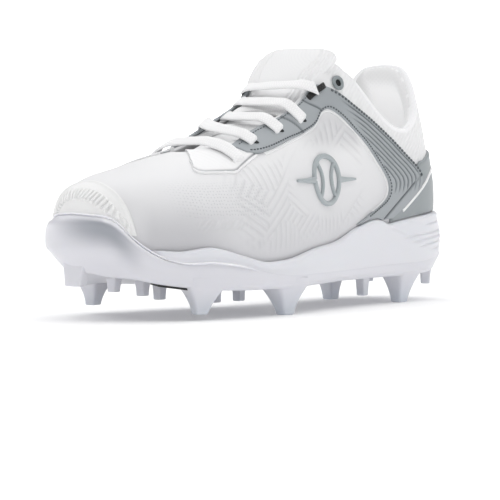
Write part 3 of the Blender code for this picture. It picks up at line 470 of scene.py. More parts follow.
def meshLiningMaterial(name, colour, shade, deep, paintedGlow):
    # brushed spacer mesh: soft, no gloss, faint openings in staggered rows, with painted shade where marked deep;
    # it glows a little, painted light
    opening = 1.8
    material, tree, _ = newMaterial(name, colour, 0.95, Sheen_Weight=0.5,
                                    Emission_Color=hexLinear("#FFFFFF"), Emission_Strength=paintedGlow)
    uv = addNode(tree, "UVMap", {}, uv_map="surface")
    turned = addNode(tree, "Mapping", {"Vector": (uv, "UV"), "Rotation": (0, 0, math.radians(45))})
    cells = addNode(tree, "TexVoronoi", {"Vector": (turned, "Vector"), "Scale": 1 / opening,
                                         "Randomness": 0.1}, voronoi_dimensions="2D")
    holes = addNode(tree, "MapRange", {"Value": (cells, "Distance"), "From Min": 0.2, "From Max": 0.42})
    tint = addNode(tree, "Mix", {"Factor": (holes, "Result"), "A": shade, "B": colour}, data_type="RGBA")
    bump = addNode(tree, "Bump", {"Height": (holes, "Result"), "Strength": 0.15, "Distance": 0.0003})
    inner = addNode(tree, "Attribute", {}, attribute_name="deep")
    tint = addNode(tree, "Mix", {"Factor": (inner, "Fac"), "A": (tint, "Result"), "B": deep},
                   data_type="RGBA")
    return dressed(material, tint, bump)


fusedKnit = fusedKnitMaterial()  # matt white with faint texture and painted shade
toeFilm = grainMaterial("moulded_toe_film", "#ECECEC", 0.45, 0.9, 0.05)  # smooth satin white
greyFilm = filmMaterial("pressed_grey_film", "#A1A6AA", "#50575B", 0.48)  # cool grey, dark in its grooves
whiteFilm = filmMaterial("pressed_white_film", "#EFEFF0", "#A9ABAF", 0.45)  # white, grey in its grooves
foam = grainMaterial("moulded_foam", "#E1E0E5", 0.45, 0.9, 0.05, Subsurface_Weight=0.05)  # satin off-white
plate = plateMaterial()
darkRubber = grainMaterial("black_rubber", "#151517", 0.6, 0.8, 0.15)  # a near-black strip
badgeRubber = grainMaterial("moulded_grey_rubber", "#AAB1B4", 0.45, 0.8, 0.06)  # light grey
ringRubber = grainMaterial("moulded_ring_rubber", "#8E9598", 0.4, 0.6, 0.05)  # mid grey
holeShade = grainMaterial("painted_hole_shade", "#26282A", 0.8, 0.5, 0.1)  # painted shade: dark for a hole's inside and under the lace ends
laceWeave = wovenMaterial("woven_flat_lace", "#FAFAFA", "#EFEFF0", 1.1, 35, 0.25)  # the whitest piece
webbing = wovenMaterial("black_webbing", "#141415", "#050506", 1.2, 45, 0.6, 0.6)  # near-black ribbon
tongueKnit = wovenMaterial("ribbed_knit", "#F4F4F4", "#F0F0F1", 1.4, 45, 0.06, 0.8)  # soft white
counterFilm = grainMaterial("pressed_heel_film", "#959B9E", 0.48, 0.8, 0.1)  # darker grey than the stay
footbedKnit = wovenMaterial("knit_footbed", "#E8E8EA", "#D2D3D6", 1.5, 45, 0.4, 0.95)  # pale, under the foot
liningMesh = meshLiningMaterial("brushed_spacer_mesh", "#CCCCCD", "#C5C5C7", "#505053", 0.5)  # soft grey, glowing, with painted shade
rollMesh = meshLiningMaterial("brushed_collar_roll", "#A6A6A9", "#A2A2A5", "#A6A6A9", 0.52)  # even grey, glowing: painted light
thread = grainMaterial("grey_thread", "#5F6568", 0.7, 0.4, 0.3)  # dark stitches on the grey film
print("materials ready")

# Sole


# lower roll, lip, cup, toe and heel of the plate's side, with the spans where each applies
plateSide = dict(
    sideIn=0.1, roll=2.6, rollHigh=0.9, thick=4.5, stations=220, lip=1.1, lipOut=0.35, lipThin=0.15,
    lipDown=0.3, groove=0.9, beadAt=(203, 224), cup=2.4, cupAhead=1.6, toeWall=2.2, toeFrom=250.0,
    toeLean=3.4, leanAt=(240, 276), leanFrom=0.78, leanOver=0.22, bulge=1.0, bulgeAt=(250, 276),
    bulgeHigh=(0.35, 0.7, 0.88, 1), cove=2.2, coveAt=(263, 278, 284, 288.5), coveLow=0.2, covePower=1.7,
    coveSharp=1.2, bow=3.0, bowAt=(196, 224, 264, 280), heelAt=(36.0, 3.0), tuck=10.0, tuckBelow=36.5,
    tuckHigh=12.0, tuckPower=1.2, toeTuckAt=(270, 284), medialTuckAt=(224, 246),
    bead=((0.3, 0.85), (0, 0.62), (0, 0.35), (0.22, 0.08), (0.6, 0.0), (1.3, 0.0)),
)
heelSide = dict(  # how far the heel's side is drawn in, by height
    at=(14, 18, 21, 24.5, 30, 36, 44, 50), inset=(7, 4.4, 1.6, -1.0, -2.3, -2.8, -1.0, 1.0),
)
# where the painted shade under the toe's lip and the painted highlight on the lip lie
plateShade = dict(down=(1.2, 3.5, 7, 19), toe=(266, 279), lateral=(-24, 4), lip=(1.6, 1.2))
# place and height of each tip, tip and root sizes, how far the root leans out, turn in degrees
studRows = dict(
    x=(278.5, 236.5, 230, 174.5, 157, 50, 50, 15, 15, 82, 86, 251, 236, 216, 190, 165),
    y=(-14.5, 31.2, -42.5, 39.5, -27.5, 28, -17.5, 22.5, -16.5, 25.2, -15, -12, -5.4, -10, 6, 3),
    tip=(17.5, 3, 4.8, 0, 0, 0, 0, 8.5, 8.5, 5, 5, 13.5, 11, 8, 5.8, 5.3),
    tipLong=(6.5, 7, 7.5, 8, 8, 8, 8, 6, 6, 5, 5, 5, 5, 5, 5, 5),
    tipWide=(10, 6, 6, 6.5, 6.5, 6.5, 6.5, 5, 5, 5, 5, 5, 5, 5, 5, 5),
    rootLong=(7.5, 22, 22, 24, 20, 21, 21, 9, 9, 7, 7, 6.5, 6.5, 6.5, 6.5, 6.5),
    rootWide=(15, 18, 14, 18, 14, 16, 15, 8, 8, 7, 7, 6.5, 6.5, 6.5, 6.5, 6.5),
    leanX=(-0.5, -2, -3, 1, 0, 0, 0, 0, 0, 0, 0, 0, 0, 0, 0, 0),
    leanY=(1, 0.8, -1, -0.4, 0, 1, -0.8, 0, 0, 0, 0, 0, 0, 0, 0, 0),
    turn=(0, -22, 8, -6, -10, 0, 0, 35, -35, 0, 0, 0, 0, 0, 0, 0),
    depth=(6, 6, 3.4, 5, 3.4, 5, 3.4, 3.4, 3.4, 3.4, 3.4, 3.4, 3.4, 3.4, 3.4, 3.4),
    flare=(1.3, 1.5, 1.7, 1.5, 1.7, 1.5, 1.7, 1.7, 1.7, 1.7, 1.7, 1.7, 1.7, 1.7, 1.7, 1.7),
    # 1 where the outer face runs on into the plate's side
    flush=(0, 1, 0, 1, 0, 1, 0, 0, 0, 0, 0, 0, 0, 0, 0, 0),
)
studShape = dict(square=6.0, levels=14, sides=56, bevel=0.5, bevelTo=0.03, flushPast=0.05, flushAbove=1.5,
                 sharp=32)


def soleStations(count):  # stations closer together at the two round ends
    return length * (1 - np.cos(np.linspace(0, math.pi, count))) / 2


def toePart(x):  # 0 behind the toe, 1 at its tip
    return np.clip((x - plateSide["toeFrom"]) / (length - plateSide["toeFrom"]), 0, 1)


def soleRing(x, inset, z, medial=None):
    # one closed ring of the sole: lateral from heel to toe, then medial back
    inset, z = (np.broadcast_to(np.asarray(value, float), x.shape) for value in (inset, z))
    lateral = np.column_stack([edge(x, 1, inset), z])
    other = np.column_stack([edge(x, -1, inset if medial is None else medial), z])
    return np.concatenate([lateral, other[-2::-1]])


def soleCap(ring, count):  # a sheet across a ring, between its lateral and medial points
    half = len(ring) // 2
    lateral, medial = ring[:half + 1], ring[:half - 1:-1]
    part = np.linspace(0, 1, count)[None, :, None]
    return dict(points=lateral[:, None] * (1 - part) + medial[:, None] * part)


def toeLean(x):  # how far the plate's lip leans in at the toe
    return plateSide["toeLean"] * smooth(*plateSide["leanAt"], x)


def cupInset(x):  # the plate's inner wall: the cup's own thickness, or just inside the leaning lip
    return np.maximum(plateSide["cup"], toeLean(x) + plateSide["cupAhead"])


def heelIn(x, z):  # how far the side is drawn in at the heel: by height, fading towards the waist
    return along(heelSide, "inset", z) * smooth(*plateSide["heelAt"], x)


def plateTuck(x, z):
    # lateral and medial inset low down: round the toe, along the medial forefoot, round the heel
    size = plateSide
    deep = size["tuck"] * np.clip((size["tuckBelow"] - z) / size["tuckHigh"], 0, 1) ** size["tuckPower"]
    heel = heelIn(x, z)
    return deep * smooth(*size["toeTuckAt"], x) + heel, deep * smooth(*size["medialTuckAt"], x) + heel


def plateHollow(x, part):  # how far the underside rises across the forefoot, part 0 and 1 at its edges
    return plateSide["bow"] * within(plateSide["bowAt"], x) * 4 * part * (1 - part)


def plateRings():  # rings of the plate from its underside, up the side, over the lip and down inside
    size = plateSide
    x = soleStations(size["stations"])
    under, top = along(sole, "under", x), along(sole, "plate", x)
    rollHigh = size["rollHigh"] * size["roll"]
    wall = under + rollHigh
    level = np.concatenate([under, under[-2::-1]])
    rings = []
    for part in np.linspace(0, 1, 7):  # the rounded lower edge
        angle = part * math.pi / 2
        inset = size["roll"] * (1 - math.sin(angle))
        lateral, medial = plateTuck(x, under + rollHigh * (1 - math.cos(angle)))
        place = soleRing(x, inset + lateral, 0.0, inset + medial)
        ground = along(sole, "under", place[:, 0])
        place[:, 2] = ground + (level - ground) * part + rollHigh * (1 - math.cos(angle))
        rings.append(place)
    lean = toeLean(x)
    cove = size["cove"] * within(size["coveAt"], x)
    bulge = size["bulge"] * smooth(*size["bulgeAt"], x)
    bead = smooth(*size["beadAt"], x)
    # the side: upright behind, hollow under the lip and leaning in at the toe
    for part in np.linspace(0.05, 1, 18):
        z = wall + (top - size["lip"] - wall) * part
        lateral, medial = plateTuck(x, z)
        up = max(part - size["coveLow"], 0) / (1 - size["coveLow"])
        hollow = cove * math.sin(math.pi * up ** size["covePower"]) ** size["coveSharp"]
        over = lean * max((part - size["leanFrom"]) / size["leanOver"], 0) ** 2
        over = over + size["groove"] * bead * part**8
        over = size["sideIn"] + over - bulge * within(size["bulgeHigh"], part)
        rings.append(soleRing(x, over + hollow + lateral, z, over + medial))
    out = size["lipOut"] * bead
    thin = size["lipThin"] + (1 - size["lipThin"]) * bead
    for inset, drop in size["bead"]:  # the lip's bead
        z = top - drop * size["lip"]
        rings.append(soleRing(x, lean + size["sideIn"] - out + inset * thin + heelIn(x, z), z))
    inner = cupInset(x)
    rings.append(soleRing(x, inner, top - size["lipDown"]))
    low = under + size["thick"]
    lateral, medial = plateTuck(x, low)
    inner = np.maximum(inner, size["cup"] + size["toeWall"] * toePart(x))
    rings.append(soleRing(x, inner + lateral, low, inner + medial))
    return np.stack(rings)


def studGrid(row):  # a tapered block with rounded corners and a bevelled tip, flared towards its root
    angle = np.linspace(0, 2 * math.pi, studShape["sides"] + 1)
    square = 2 / studShape["square"]
    block = [np.sign(part) * abs(part) ** square for part in (np.cos(angle), np.sin(angle))]
    turn = math.radians(row["turn"])
    ground = float(along(sole, "under", row["x"]))
    root = ground + row["depth"]
    rootWide, full = row["rootWide"], 1.0
    if row["flush"]:
        foot = (row["x"] + row["leanX"], row["y"] + row["leanY"])
        shore = outline(np.linspace(0.3, math.pi - 0.3, 800), 1) - foot
        rootWide = 2 * (np.linalg.norm(shore, axis=1).min() + studShape["flushPast"])
        full = (ground + studShape["flushAbove"] - row["tip"]) / (root - row["tip"])
    rise = np.concatenate([[0, 0, studShape["bevelTo"]], np.linspace(0.05, 1, studShape["levels"]), [1]])
    shrink = np.concatenate([[0, 1 - 2 * studShape["bevel"] / row["tipLong"]], np.ones(len(rise) - 3), [0]])
    part = np.minimum(rise[:, None] / full, 1) ** row["flare"]
    long = (row["tipLong"] + (row["rootLong"] - row["tipLong"]) * part) / 2 * shrink[:, None] * block[0]
    wide = (row["tipWide"] + (rootWide - row["tipWide"]) * part) / 2 * shrink[:, None] * block[1]
    x = row["x"] + row["leanX"] * rise[:, None] + long * math.cos(turn) - wide * math.sin(turn)
    y = row["y"] + row["leanY"] * rise[:, None] + long * math.sin(turn) + wide * math.cos(turn)
    z = np.broadcast_to((row["tip"] + (root - row["tip"]) * rise)[:, None], x.shape)
    return dict(points=np.stack([x, y, z], -1))


def makeOutsole():  # the plate's rings closed above and below, with the studs joined on
    rings = plateRings()
    bottom = soleCap(rings[0], 17)
    bottom["points"][..., 2] += plateHollow(bottom["points"][..., 0], np.linspace(0, 1, 17))
    grids = [dict(points=rings), bottom, soleCap(rings[-1], 3)]
    tray = makePiece("studded_plate", grids, plate, ("outsole",), sharp=38)
    forms = []
    for k, values in enumerate(zip(*studRows.values())):
        form = makePiece(f"stud_{k}", [studGrid(dict(zip(studRows, values)))], plate)
        step = tray.modifiers.new(form.name, "BOOLEAN")
        step.operation, step.object, step.solver = "UNION", form, "MANIFOLD"
        forms.append(form)
    joined = bpy.data.meshes.new_from_object(tray.evaluated_get(bpy.context.evaluated_depsgraph_get()))
    tray.modifiers.clear()
    tray.data = joined
    for form in forms:
        bpy.data.objects.remove(form, do_unlink=True)
    joined.shade_smooth()
    joined.set_sharp_from_angle(angle=math.radians(studShape["sharp"]))
    place = np.empty(len(joined.vertices) * 3)
    joined.vertices.foreach_get("co", place)
    x, y, z = (place[k::3] / mm + middle[k] for k in range(3))
    down = along(sole, "plate", x) - z
    # painted shade in the hollow under the toe's lip, and a painted highlight along the lip
    deep = within(plateShade["down"], down) * smooth(*plateShade["toe"], x)
    deep = deep * smooth(*plateShade["lateral"], y)
    lip = smooth(*plateShade["lip"], down) * smooth(*plateSide["beadAt"], x)
    for name, value in (("deep", deep), ("lip", lip)):
        joined.attributes.new(name, "FLOAT", "POINT").data.foreach_set("value", value)


# side of the foam: step over the plate's lip, hollow, rounded rim, heel panel and its grooves
midsoleShape = dict(
    shown=(1.0, 3.8), stations=220, levels=72, sideIn=0.14, rimIn=0.9, rimFull=0.999, lipOver=0.1,
    stepPower=1.5, tuck=0.7, rim=1.7, hollow=0.7, hollowAt=(70, 120), step=1.0, stepAt=(200, 226),
    panel=0.5, panelFrom=16.6, panelSlope=61.0, panelSoft=(2.5, -2.5), panelTop=(0.98, 0.86),
    grooveWide=0.02, grooveDeep=0.6, grooves=(0.22, 0.36, 0.48, 0.6, 0.8), grooveFrom=(30.0, 46.0, 54.0, 62.0, 40.0),
    grooveFade=9.0,
)


def makeMidsole():
    # a cup inside the plate's side, flush with it behind and stepped in above its lip in front
    size = midsoleShape
    x = soleStations(size["stations"])
    under, bed, top = (along(sole, name, x) for name in ("under", "bed", "foam"))
    seam = along(sole, "plate", x)
    shown = smooth(*size["shown"], top - seam)
    low = np.minimum(seam - size["tuck"], top - size["rim"])
    inside = cupInset(x) + gap + plateSide["toeWall"] * toePart(x)
    floor = under + plateSide["thick"] + gap
    lateral, medial = plateTuck(x, floor)
    rings = [soleRing(x, inside + gap + lateral, floor, inside + gap + medial), soleRing(x, inside, low)]
    front = smooth(*size["stepAt"], x)
    # the side: hollow below a rounded rim, with a pressed panel and grooves at the heel
    for part in np.linspace(0, 1, size["levels"]):
        edgeIn = size["sideIn"] + size["step"] * front * (1 - part) ** size["stepPower"]
        hollow = size["hollow"] * math.sin(math.pi * part) ** 2 * smooth(*size["hollowAt"], x)
        behind = x - size["panelFrom"] - size["panelSlope"] * part
        panel = size["panel"] * smooth(*size["panelSoft"], behind) * smooth(*size["panelTop"], part)
        for level, begin in zip(size["grooves"], size["grooveFrom"]):
            line = math.exp(-(((part - level) / size["grooveWide"]) ** 2))
            panel = panel + size["grooveDeep"] * line * smooth(begin, begin - size["grooveFade"], x)
        over = np.clip(((top - low) * (part - 1) + size["rim"]) / size["rim"], 0, 1)
        roundIn = size["rim"] * (1 - np.sqrt(1 - over**2 * size["rimFull"]))
        z = low + (top - low) * part
        side = edgeIn + hollow + panel + roundIn * size["rimIn"] + heelIn(x, z)
        rings.append(soleRing(x, side * shown + inside * (1 - shown), z))
    rings.append(soleRing(x, along(last, "inset", x) - gap, top + size["lipOver"]))
    rings.append(soleRing(x, along(last, "inset", x) + last["featherIn"] - 2 * gap, bed))
    rings = np.stack(rings)
    grids = [dict(points=rings), soleCap(rings[0], 3), soleCap(rings[-1], 3)]
    makePiece("foam_midsole", grids, foam, ("midsole",), sharp=50)


insoleShape = dict(thick=4.0, round=1.2, wall=2.0)


def makeInsole():  # a foam footbed with a rounded top edge
    x = soleStations(140)
    bed = along(sole, "bed", x) + gap
    inset = along(last, "inset", x) + last["featherIn"] + insoleShape["wall"] + 3 * gap
    rings = [soleRing(x, inset, bed)]
    for angle in np.linspace(0, math.pi / 2, 6):
        rings.append(soleRing(x, inset + insoleShape["round"] * (1 - math.cos(angle)),
                              bed + insoleShape["thick"] - insoleShape["round"] * (1 - math.sin(angle))))
    rings = np.stack(rings)
    top = soleCap(rings[-1], 40)
    top["uv"] = top["points"][..., :2]
    grids = [dict(points=rings), soleCap(rings[0], 3), top]
    footbed = makePiece("footbed", grids, footbedKnit, ("insole",))


padShape = dict(start=246.0, end=261.0, inset=4.0, wide=12.0, thick=1.1, under=0.1)


def makeForefootPad():  # a thin dark plate under the lateral edge of the forefoot
    x = np.linspace(padShape["start"], padShape["end"], 40)
    levels = []
    for part, drop in ((0, 0), (0, 1), (0.03, 1.0), (0.97, 1.0), (1, 1), (1, 0)):
        place = edge(x, 1, np.full_like(x, padShape["inset"] + padShape["wide"] * part))
        far = (padShape["inset"] - plateSide["roll"] + padShape["wide"] * part) / (2 * halfWidth(x))
        ground = along(sole, "under", place[:, 0]) + plateHollow(place[:, 0], far)
        levels.append(np.column_stack([place, ground - padShape["under"] - padShape["thick"] * drop]))
    band = np.stack(levels + levels[:1], 1)
    ends = [dict(points=np.stack([band[k, :3], band[k, 5:2:-1]])) for k in (0, -1)]
    makePiece("forefoot_strip", [dict(points=band)] + ends, darkRubber, ("forefoot_pad",),
              sharp=40)


makeOutsole()
makeMidsole()
makeInsole()
makeForefootPad()
print("sole ready")

# Upper


upperShape = dict(wall=2.0, below=9, levels=100, rimSteps=8, innerLevels=14, fineFrom=84.0, fineTo=266.0,
                  fade=3.0)


def upperStations():  # fine where the film is pressed, closer together at heel and toe
    heel = upperShape["fineFrom"] * (1 - np.cos(np.linspace(0, math.pi / 2, 44)))
    fine = np.linspace(upperShape["fineFrom"], upperShape["fineTo"], 290)
    toe = upperShape["fineTo"] + (length - upperShape["fineTo"]) * np.sin(np.linspace(0, math.pi / 2, 26))
    front = throat["front"] - np.array([0.35, 0.12, 0.0])
    return np.unique(np.round(np.concatenate([heel, fine, toe, front]), 6))


stayEdges = dict(  # upper and lower edge of the grey stay and saddle strap, from the toe end to the midsole
    at=tuple(range(19)),
    upperX=(190, 183, 171, 157, 141, 133, 126.5, 117.5, 103, 85, 68, 52, 41, 36.5, 38.5, 46, 54, 61, 67),
    upperZ=(85.5, 88.5, 94, 99.5, 106.5, 112, 118, 116, 108.2, 99.6, 90.4, 80.6, 74, 69, 61.5, 56.5, 52.5,
            49.5, 46.5),
    lowerX=(187, 181, 172, 158, 146, 135, 128, 122.5, 115.5, 105, 92, 81, 73.2, 70, 70.5, 75, 84, 94, 103),
    lowerZ=(82.5, 82.5, 84.5, 89, 92.5, 97, 103.5, 105.5, 102.2, 95.3, 86.9, 77.5, 70, 65, 59.8, 55.6, 51.5,
            47.5, 44),
    lift=0.7, thick=1.1,
)
badgeShape = dict(x=134.0, z=68.5, radius=12.5, line=2.6, thick=1.2, seamRadius=13.0, seamOff=17.5,
                  bar=17.0, seamLine=1.6, barLine=3.6, barUnder=0.4, barTaper=0.35, low=0.05)


def ridges(phase, sharpness):  # narrow raised lines, one a unit of phase
    return (0.5 + 0.5 * np.cos(2 * math.pi * phase)) ** sharpness


# three sets of pressed lines, the waves that share out the quarter among them, and their limits
quarterLines = dict(
    upright=4.4, slanting=4.8, slantSlope=0.75, falling=4.6, fallSlope=0.55, sharp=3, high=0.5, waveX=9.0,
    waveZ=7.5, waveSlope=0.4, uprightOver=0.55, slantingOver=-0.45, spanX=(92, 104, 206, 222),
    overSole=(3, 9), underStay=(3, 8), badgeLong=36, badgeHigh=19, badgeClear=(0.9, 1.15),
)
filmFields = dict(  # spans of the low row of slanting ridges, the pinholes, the ribs and the painted shade
    slashX=(208, 210, 241, 243), slashZ=(44.6, 45.2, 49.8, 50.4), ribX=(120, 112), ribOver=(0, 4),
    pinholeX=(188, 198, 238, 258), pinholeZ=(50.4, 52, 64, 71), vamp=0.55, vampX=(212, 250, 262, 272),
    vampZ=(62, 42), lines=0.25, quarter=0.4, quarterX=(92, 104, 132, 158), quarterZ=(80, 92, 100, 108),
)


def pressedLines(x, z):  # faces of parallel raised lines, upright and slanting, pressed into the quarter
    size = quarterLines
    upright = ridges(x / size["upright"], size["sharp"])
    slanting = ridges((x * size["slantSlope"] + z) / size["slanting"], size["sharp"])
    falling = ridges((z - x * size["fallSlope"]) / size["falling"], size["sharp"])
    zone = np.sin(x / size["waveX"]) + np.sin((z + x * size["waveSlope"]) / size["waveZ"])
    pattern = np.where(zone > size["slantingOver"], slanting, falling)
    pattern = np.where(zone > size["uprightOver"], upright, pattern)
    stayLow = np.interp(x, stayEdges["lowerX"][8:0:-1], stayEdges["lowerZ"][8:0:-1])
    field = within(size["spanX"], x) * smooth(*size["overSole"], z - along(sole, "foam", x))
    field = field * smooth(*size["underStay"], stayLow - z)
    badge = np.hypot((x - badgeShape["x"]) / size["badgeLong"], (z - badgeShape["z"]) / size["badgeHigh"])
    return pattern * field * smooth(*size["badgeClear"], badge) * size["high"]


def makeUpper():  # the last's face with its pressed lines, a rolled edge, an inner face and the wall's foot
    x = upperStations()
    fields = filmFields
    half = upperShape["wall"] / 2
    isOpen = x <= throat["front"] + 1e-6
    angle = np.linspace(0, math.pi, upperShape["rimSteps"])
    level = np.linspace(0, 1, upperShape["levels"])
    level = np.concatenate([np.linspace(-1, 0, upperShape["below"])[:-1], level])
    inLevel = np.linspace(1, -1, upperShape["innerLevels"])
    grids = []
    for _, side in bothSides:
        rim = rimRise(x, side)[:, None]
        rise = np.where(level < 0, level, level * rim)
        wideX = np.broadcast_to(x[:, None], rise.shape)
        flat = skin(wideX, rise, side)
        z = flat[..., 2]
        relief = pressedLines(wideX, z)
        relief[:, -3:] = 0
        outer = lifted(wideX, rise, side, relief)
        uv = np.stack([wideX, flatUv(flat)[..., 1]], -1)
        strap = np.interp(wideX, stayEdges["upperX"][13:6:-1], stayEdges["upperZ"][13:6:-1])
        ribs = smooth(*fields["ribX"], wideX) * smooth(*fields["ribOver"], z - strap)
        # painted shade: darker on the vamp's lower side, along the pressed lines and on the quarter below the strap
        dull = fields["vamp"] * within(fields["vampX"], wideX) * smooth(*fields["vampZ"], z)
        dull = dull + fields["lines"] * relief / quarterLines["high"]
        dull = dull + fields["quarter"] * within(fields["quarterZ"], z) * within(fields["quarterX"], wideX)
        pinholes = within(fields["pinholeX"], wideX) * within(fields["pinholeZ"], z)
        slashes = within(fields["slashX"], wideX) * within(fields["slashZ"], z)
        marks = dict(pinholes=pinholes, ribs=ribs, dull=dull, slashes=slashes)
        grids.append(dict(points=outer, uv=uv, marks=marks))
        rimX, rimLevel = x[isOpen, None], rim[isOpen]
        up = skin(rimX, rimLevel + 1e-3, side) - skin(rimX, rimLevel - 1e-3, side)
        up /= np.maximum(np.linalg.norm(up, axis=-1, keepdims=True), 1e-9)
        up = up * smooth(throat["front"], throat["front"] - upperShape["fade"], rimX)[..., None]
        roll = lifted(rimX, rimLevel, side, half * (np.cos(angle) - 1)[None])
        roll = roll + up * half * np.sin(angle)[None, :, None]
        rollUv = np.stack(np.broadcast_arrays(rimX, uv[isOpen, -1:, 1] + angle * half), -1)
        rollRibs = np.broadcast_to(ribs[isOpen, -1:], roll.shape[:2])
        grids.append(dict(points=roll, uv=rollUv, marks=dict(ribs=rollRibs)))
        inRise = np.where(inLevel < 0, inLevel, inLevel * rim)
        inner = lifted(np.broadcast_to(x[:, None], inRise.shape), inRise, side, -upperShape["wall"])
        grids.append(dict(points=inner, uv=inner[..., ::2]))
        grids.append(dict(points=np.stack([outer[:, 0], inner[:, -1]], 1)))
    makePiece("knit_upper", grids, fusedKnit, ("upper",))


makeUpper()
print("upper ready")

collarPad = dict(  # the lining's end, depth, fullness and shade, then the roll along its top edge
    end=112.0, endFade=24.0, deep=44.0, thick=7.5, fullAt=0.55, fullPower=0.6, least=0.12, inside=0.9,
    above=0.5, shaded=(2.0, -13.0), topShade=0.6, topBand=(0.3, 0.1), rollEnd=98.0, rollIn=1.6,
    rollUp=-0.8, rollWide=3.8, rollHigh=3.4,
)


def makeCollarPadding():
    # a padded lining inside the collar: full below its rolled top edge, thin at its lower edge
    size = collarPad
    grids = []
    x = size["end"] * (1 - np.cos(np.linspace(0, math.pi / 2, 70)))
    part = np.linspace(0, 1, 30)[None]
    ends = smooth(size["end"], size["end"] - size["endFade"], x)[:, None]
    full = size["least"] + (1 - size["least"]) * ends
    bulge = np.sin(math.pi * part ** size["fullAt"]) ** size["fullPower"] * size["thick"] * full
    wideX = np.broadcast_to(x[:, None], bulge.shape)
    for _, side in bothSides:
        rim = rimRise(x, side)[:, None]
        z = skin(x, rim[:, 0], side)[:, 2:] + size["above"] - size["deep"] * part
        rise = np.minimum(riseAtZ(wideX, z), rim)
        front = lifted(wideX, rise, side, -size["inside"] - bulge - 0.05)
        back = lifted(wideX, rise, side, -size["inside"])
        front[:, 0], front[:, -1] = back[:, 0], back[:, -1]
        front[-1] = back[-1]
        # painted shade: the lining darker towards the medial side and in a band along its top
        topShade = size["topShade"] * smooth(*size["topBand"], part)
        marks = dict(deep=np.maximum(smooth(*size["shaded"], front[..., 1]), topShade))
        grids.append(dict(points=front, uv=flatUv(front), marks=marks))
        grids.append(dict(points=back))
    lining = makePiece("collar_padding", grids, liningMesh)
    turn = np.linspace(-math.pi / 2, math.pi / 2, 141)
    place = size["rollEnd"] * (1 - np.cos(turn))
    side = np.where(turn < 0, 1.0, -1.0)
    rim = np.where(turn < 0, rimRise(place, 1), rimRise(place, -1))
    path = lifted(place, rim, side, -size["rollIn"]) + (0, 0, size["rollUp"])
    across = np.cross(np.gradient(path, axis=0), (0.0, 0.0, 1.0))
    grids = [sweep(path, across, size["rollWide"], size["rollHigh"])]
    roll = makePiece("collar_roll", grids, rollMesh)


# by distance up the back edge: how far it bows, the row's middle, a bar's half length and its slant
toeCapShape = dict(
    at=(0, 2.5, 6.6, 10.2, 15.6, 22.9, 31.9, 42.2, 46), bow=(0, 0.6, 1.6, 2.4, 3.2, 3.4, 2.6, 0.4, 0),
    row=(3, 3.4, 4.3, 6.7, 8.6, 9.3, 9.6, 11, 11), half=(0.6, 0.9, 1.5, 2.2, 2.9, 3.2, 3.3, 3.2, 3.2),
    slant=(1.3, 1.28, 1.2, 1.0, 0.72, 0.5, 0.27, -0.1, -0.2), back=270.0, tuck=-0.3, thick=1.1, first=1.2,
    pitch=3.6, barHigh=1.15, barSoft=(0.4, 0.24), rowSoft=(0.5, -0.5), rim=0.5, rimAt=0.9, rimWide=0.8,
)


def makeToeCap():  # a film cap with a raised rim and a row of short slanting bars in front of it
    size = toeCapShape
    part = pinched(110, 0.01)
    grids = []
    for _, side in bothSides:
        rise = (pinched(190, 0.004) * (1 - size["tuck"]) + size["tuck"])[:, None]
        level = flatUv(skin(size["back"] + 0 * rise, rise, side))[..., 0]  # distance up the back edge
        level = level / level[-1] * size["at"][-1]
        back = size["back"] + along(size, "bow", level)
        wideX = back + (length - back) * np.sin(part[None] * math.pi / 2)
        wideRise = np.broadcast_to(rise, wideX.shape)
        away = flatUv(skin(wideX, wideRise, side))[..., 1]  # distance from the back edge, along the shoe
        off = away - along(size, "row", level)
        slot = (level + along(size, "slant", level) * off - size["first"]) / size["pitch"]
        bar = smooth(*size["barSoft"], np.abs((slot % 1) - 0.5)) * (slot > 0)
        inRow = smooth(*size["rowSoft"], np.abs(off) - along(size, "half", level))
        rim = np.exp(-(((away - size["rimAt"]) / size["rimWide"]) ** 2)) * size["rim"]
        high = gap + size["thick"] + size["barHigh"] * bar * inRow + rim
        grids += slab(wideX, wideRise, side, gap, high, edges=(True, False, True, False))
    makePiece("toe_cap_film", grids, toeFilm, ("toe_cap",))


makeCollarPadding()
makeToeCap()

# pressed lines of the stay, in mm across it and rows along it, its seams, border and stitching
stayGrooves = dict(
    first=3.4, pitch=4.0, count=7, deep=0.8, wide=0.55, rows=(7.3, 8.3, 13.2, 14.2), laterBy=0.45,
    clear=(2.2, 3.6), seams=((3.2, 4.0), (4.6, 6.1)), seamDeep=0.8, seamWide=0.06, lineFrom=(42.8, 66.9),
    lineTo=(75.4, 46.5), lineRows=(12.4, 13.0, 17.6, 18), border=1.3, borderUnder=2.0,
    borderRows=(1.4, 16.2), borderThick=0.55, stitchIn=1.1, stitchLong=0.68, under=0.6,
)
stitchRows = (  # rows along the stay, edge (0 upper, 1 lower), pitch and thread radius
    ((0.4, 6.3), 0.0, 1.9, 0.3), ((6.8, 13.1), 0.0, 2.6, 0.7), ((0.4, 17.0), 1.0, 1.9, 0.45),
)


def stayPoint(row, part):
    # side-view place on the stay: row along it, part 0 on its upper edge and 1 on its lower
    names = ("upperX", "upperZ", "lowerX", "lowerZ")
    upperX, upperZ, lowerX, lowerZ = (along(stayEdges, name, row) for name in names)
    x = upperX + (lowerX - upperX) * part
    z = np.maximum(upperZ + (lowerZ - upperZ) * part, along(sole, "foam", x) + 3 * gap)
    return x, z, np.hypot(lowerX - upperX, lowerZ - upperZ)


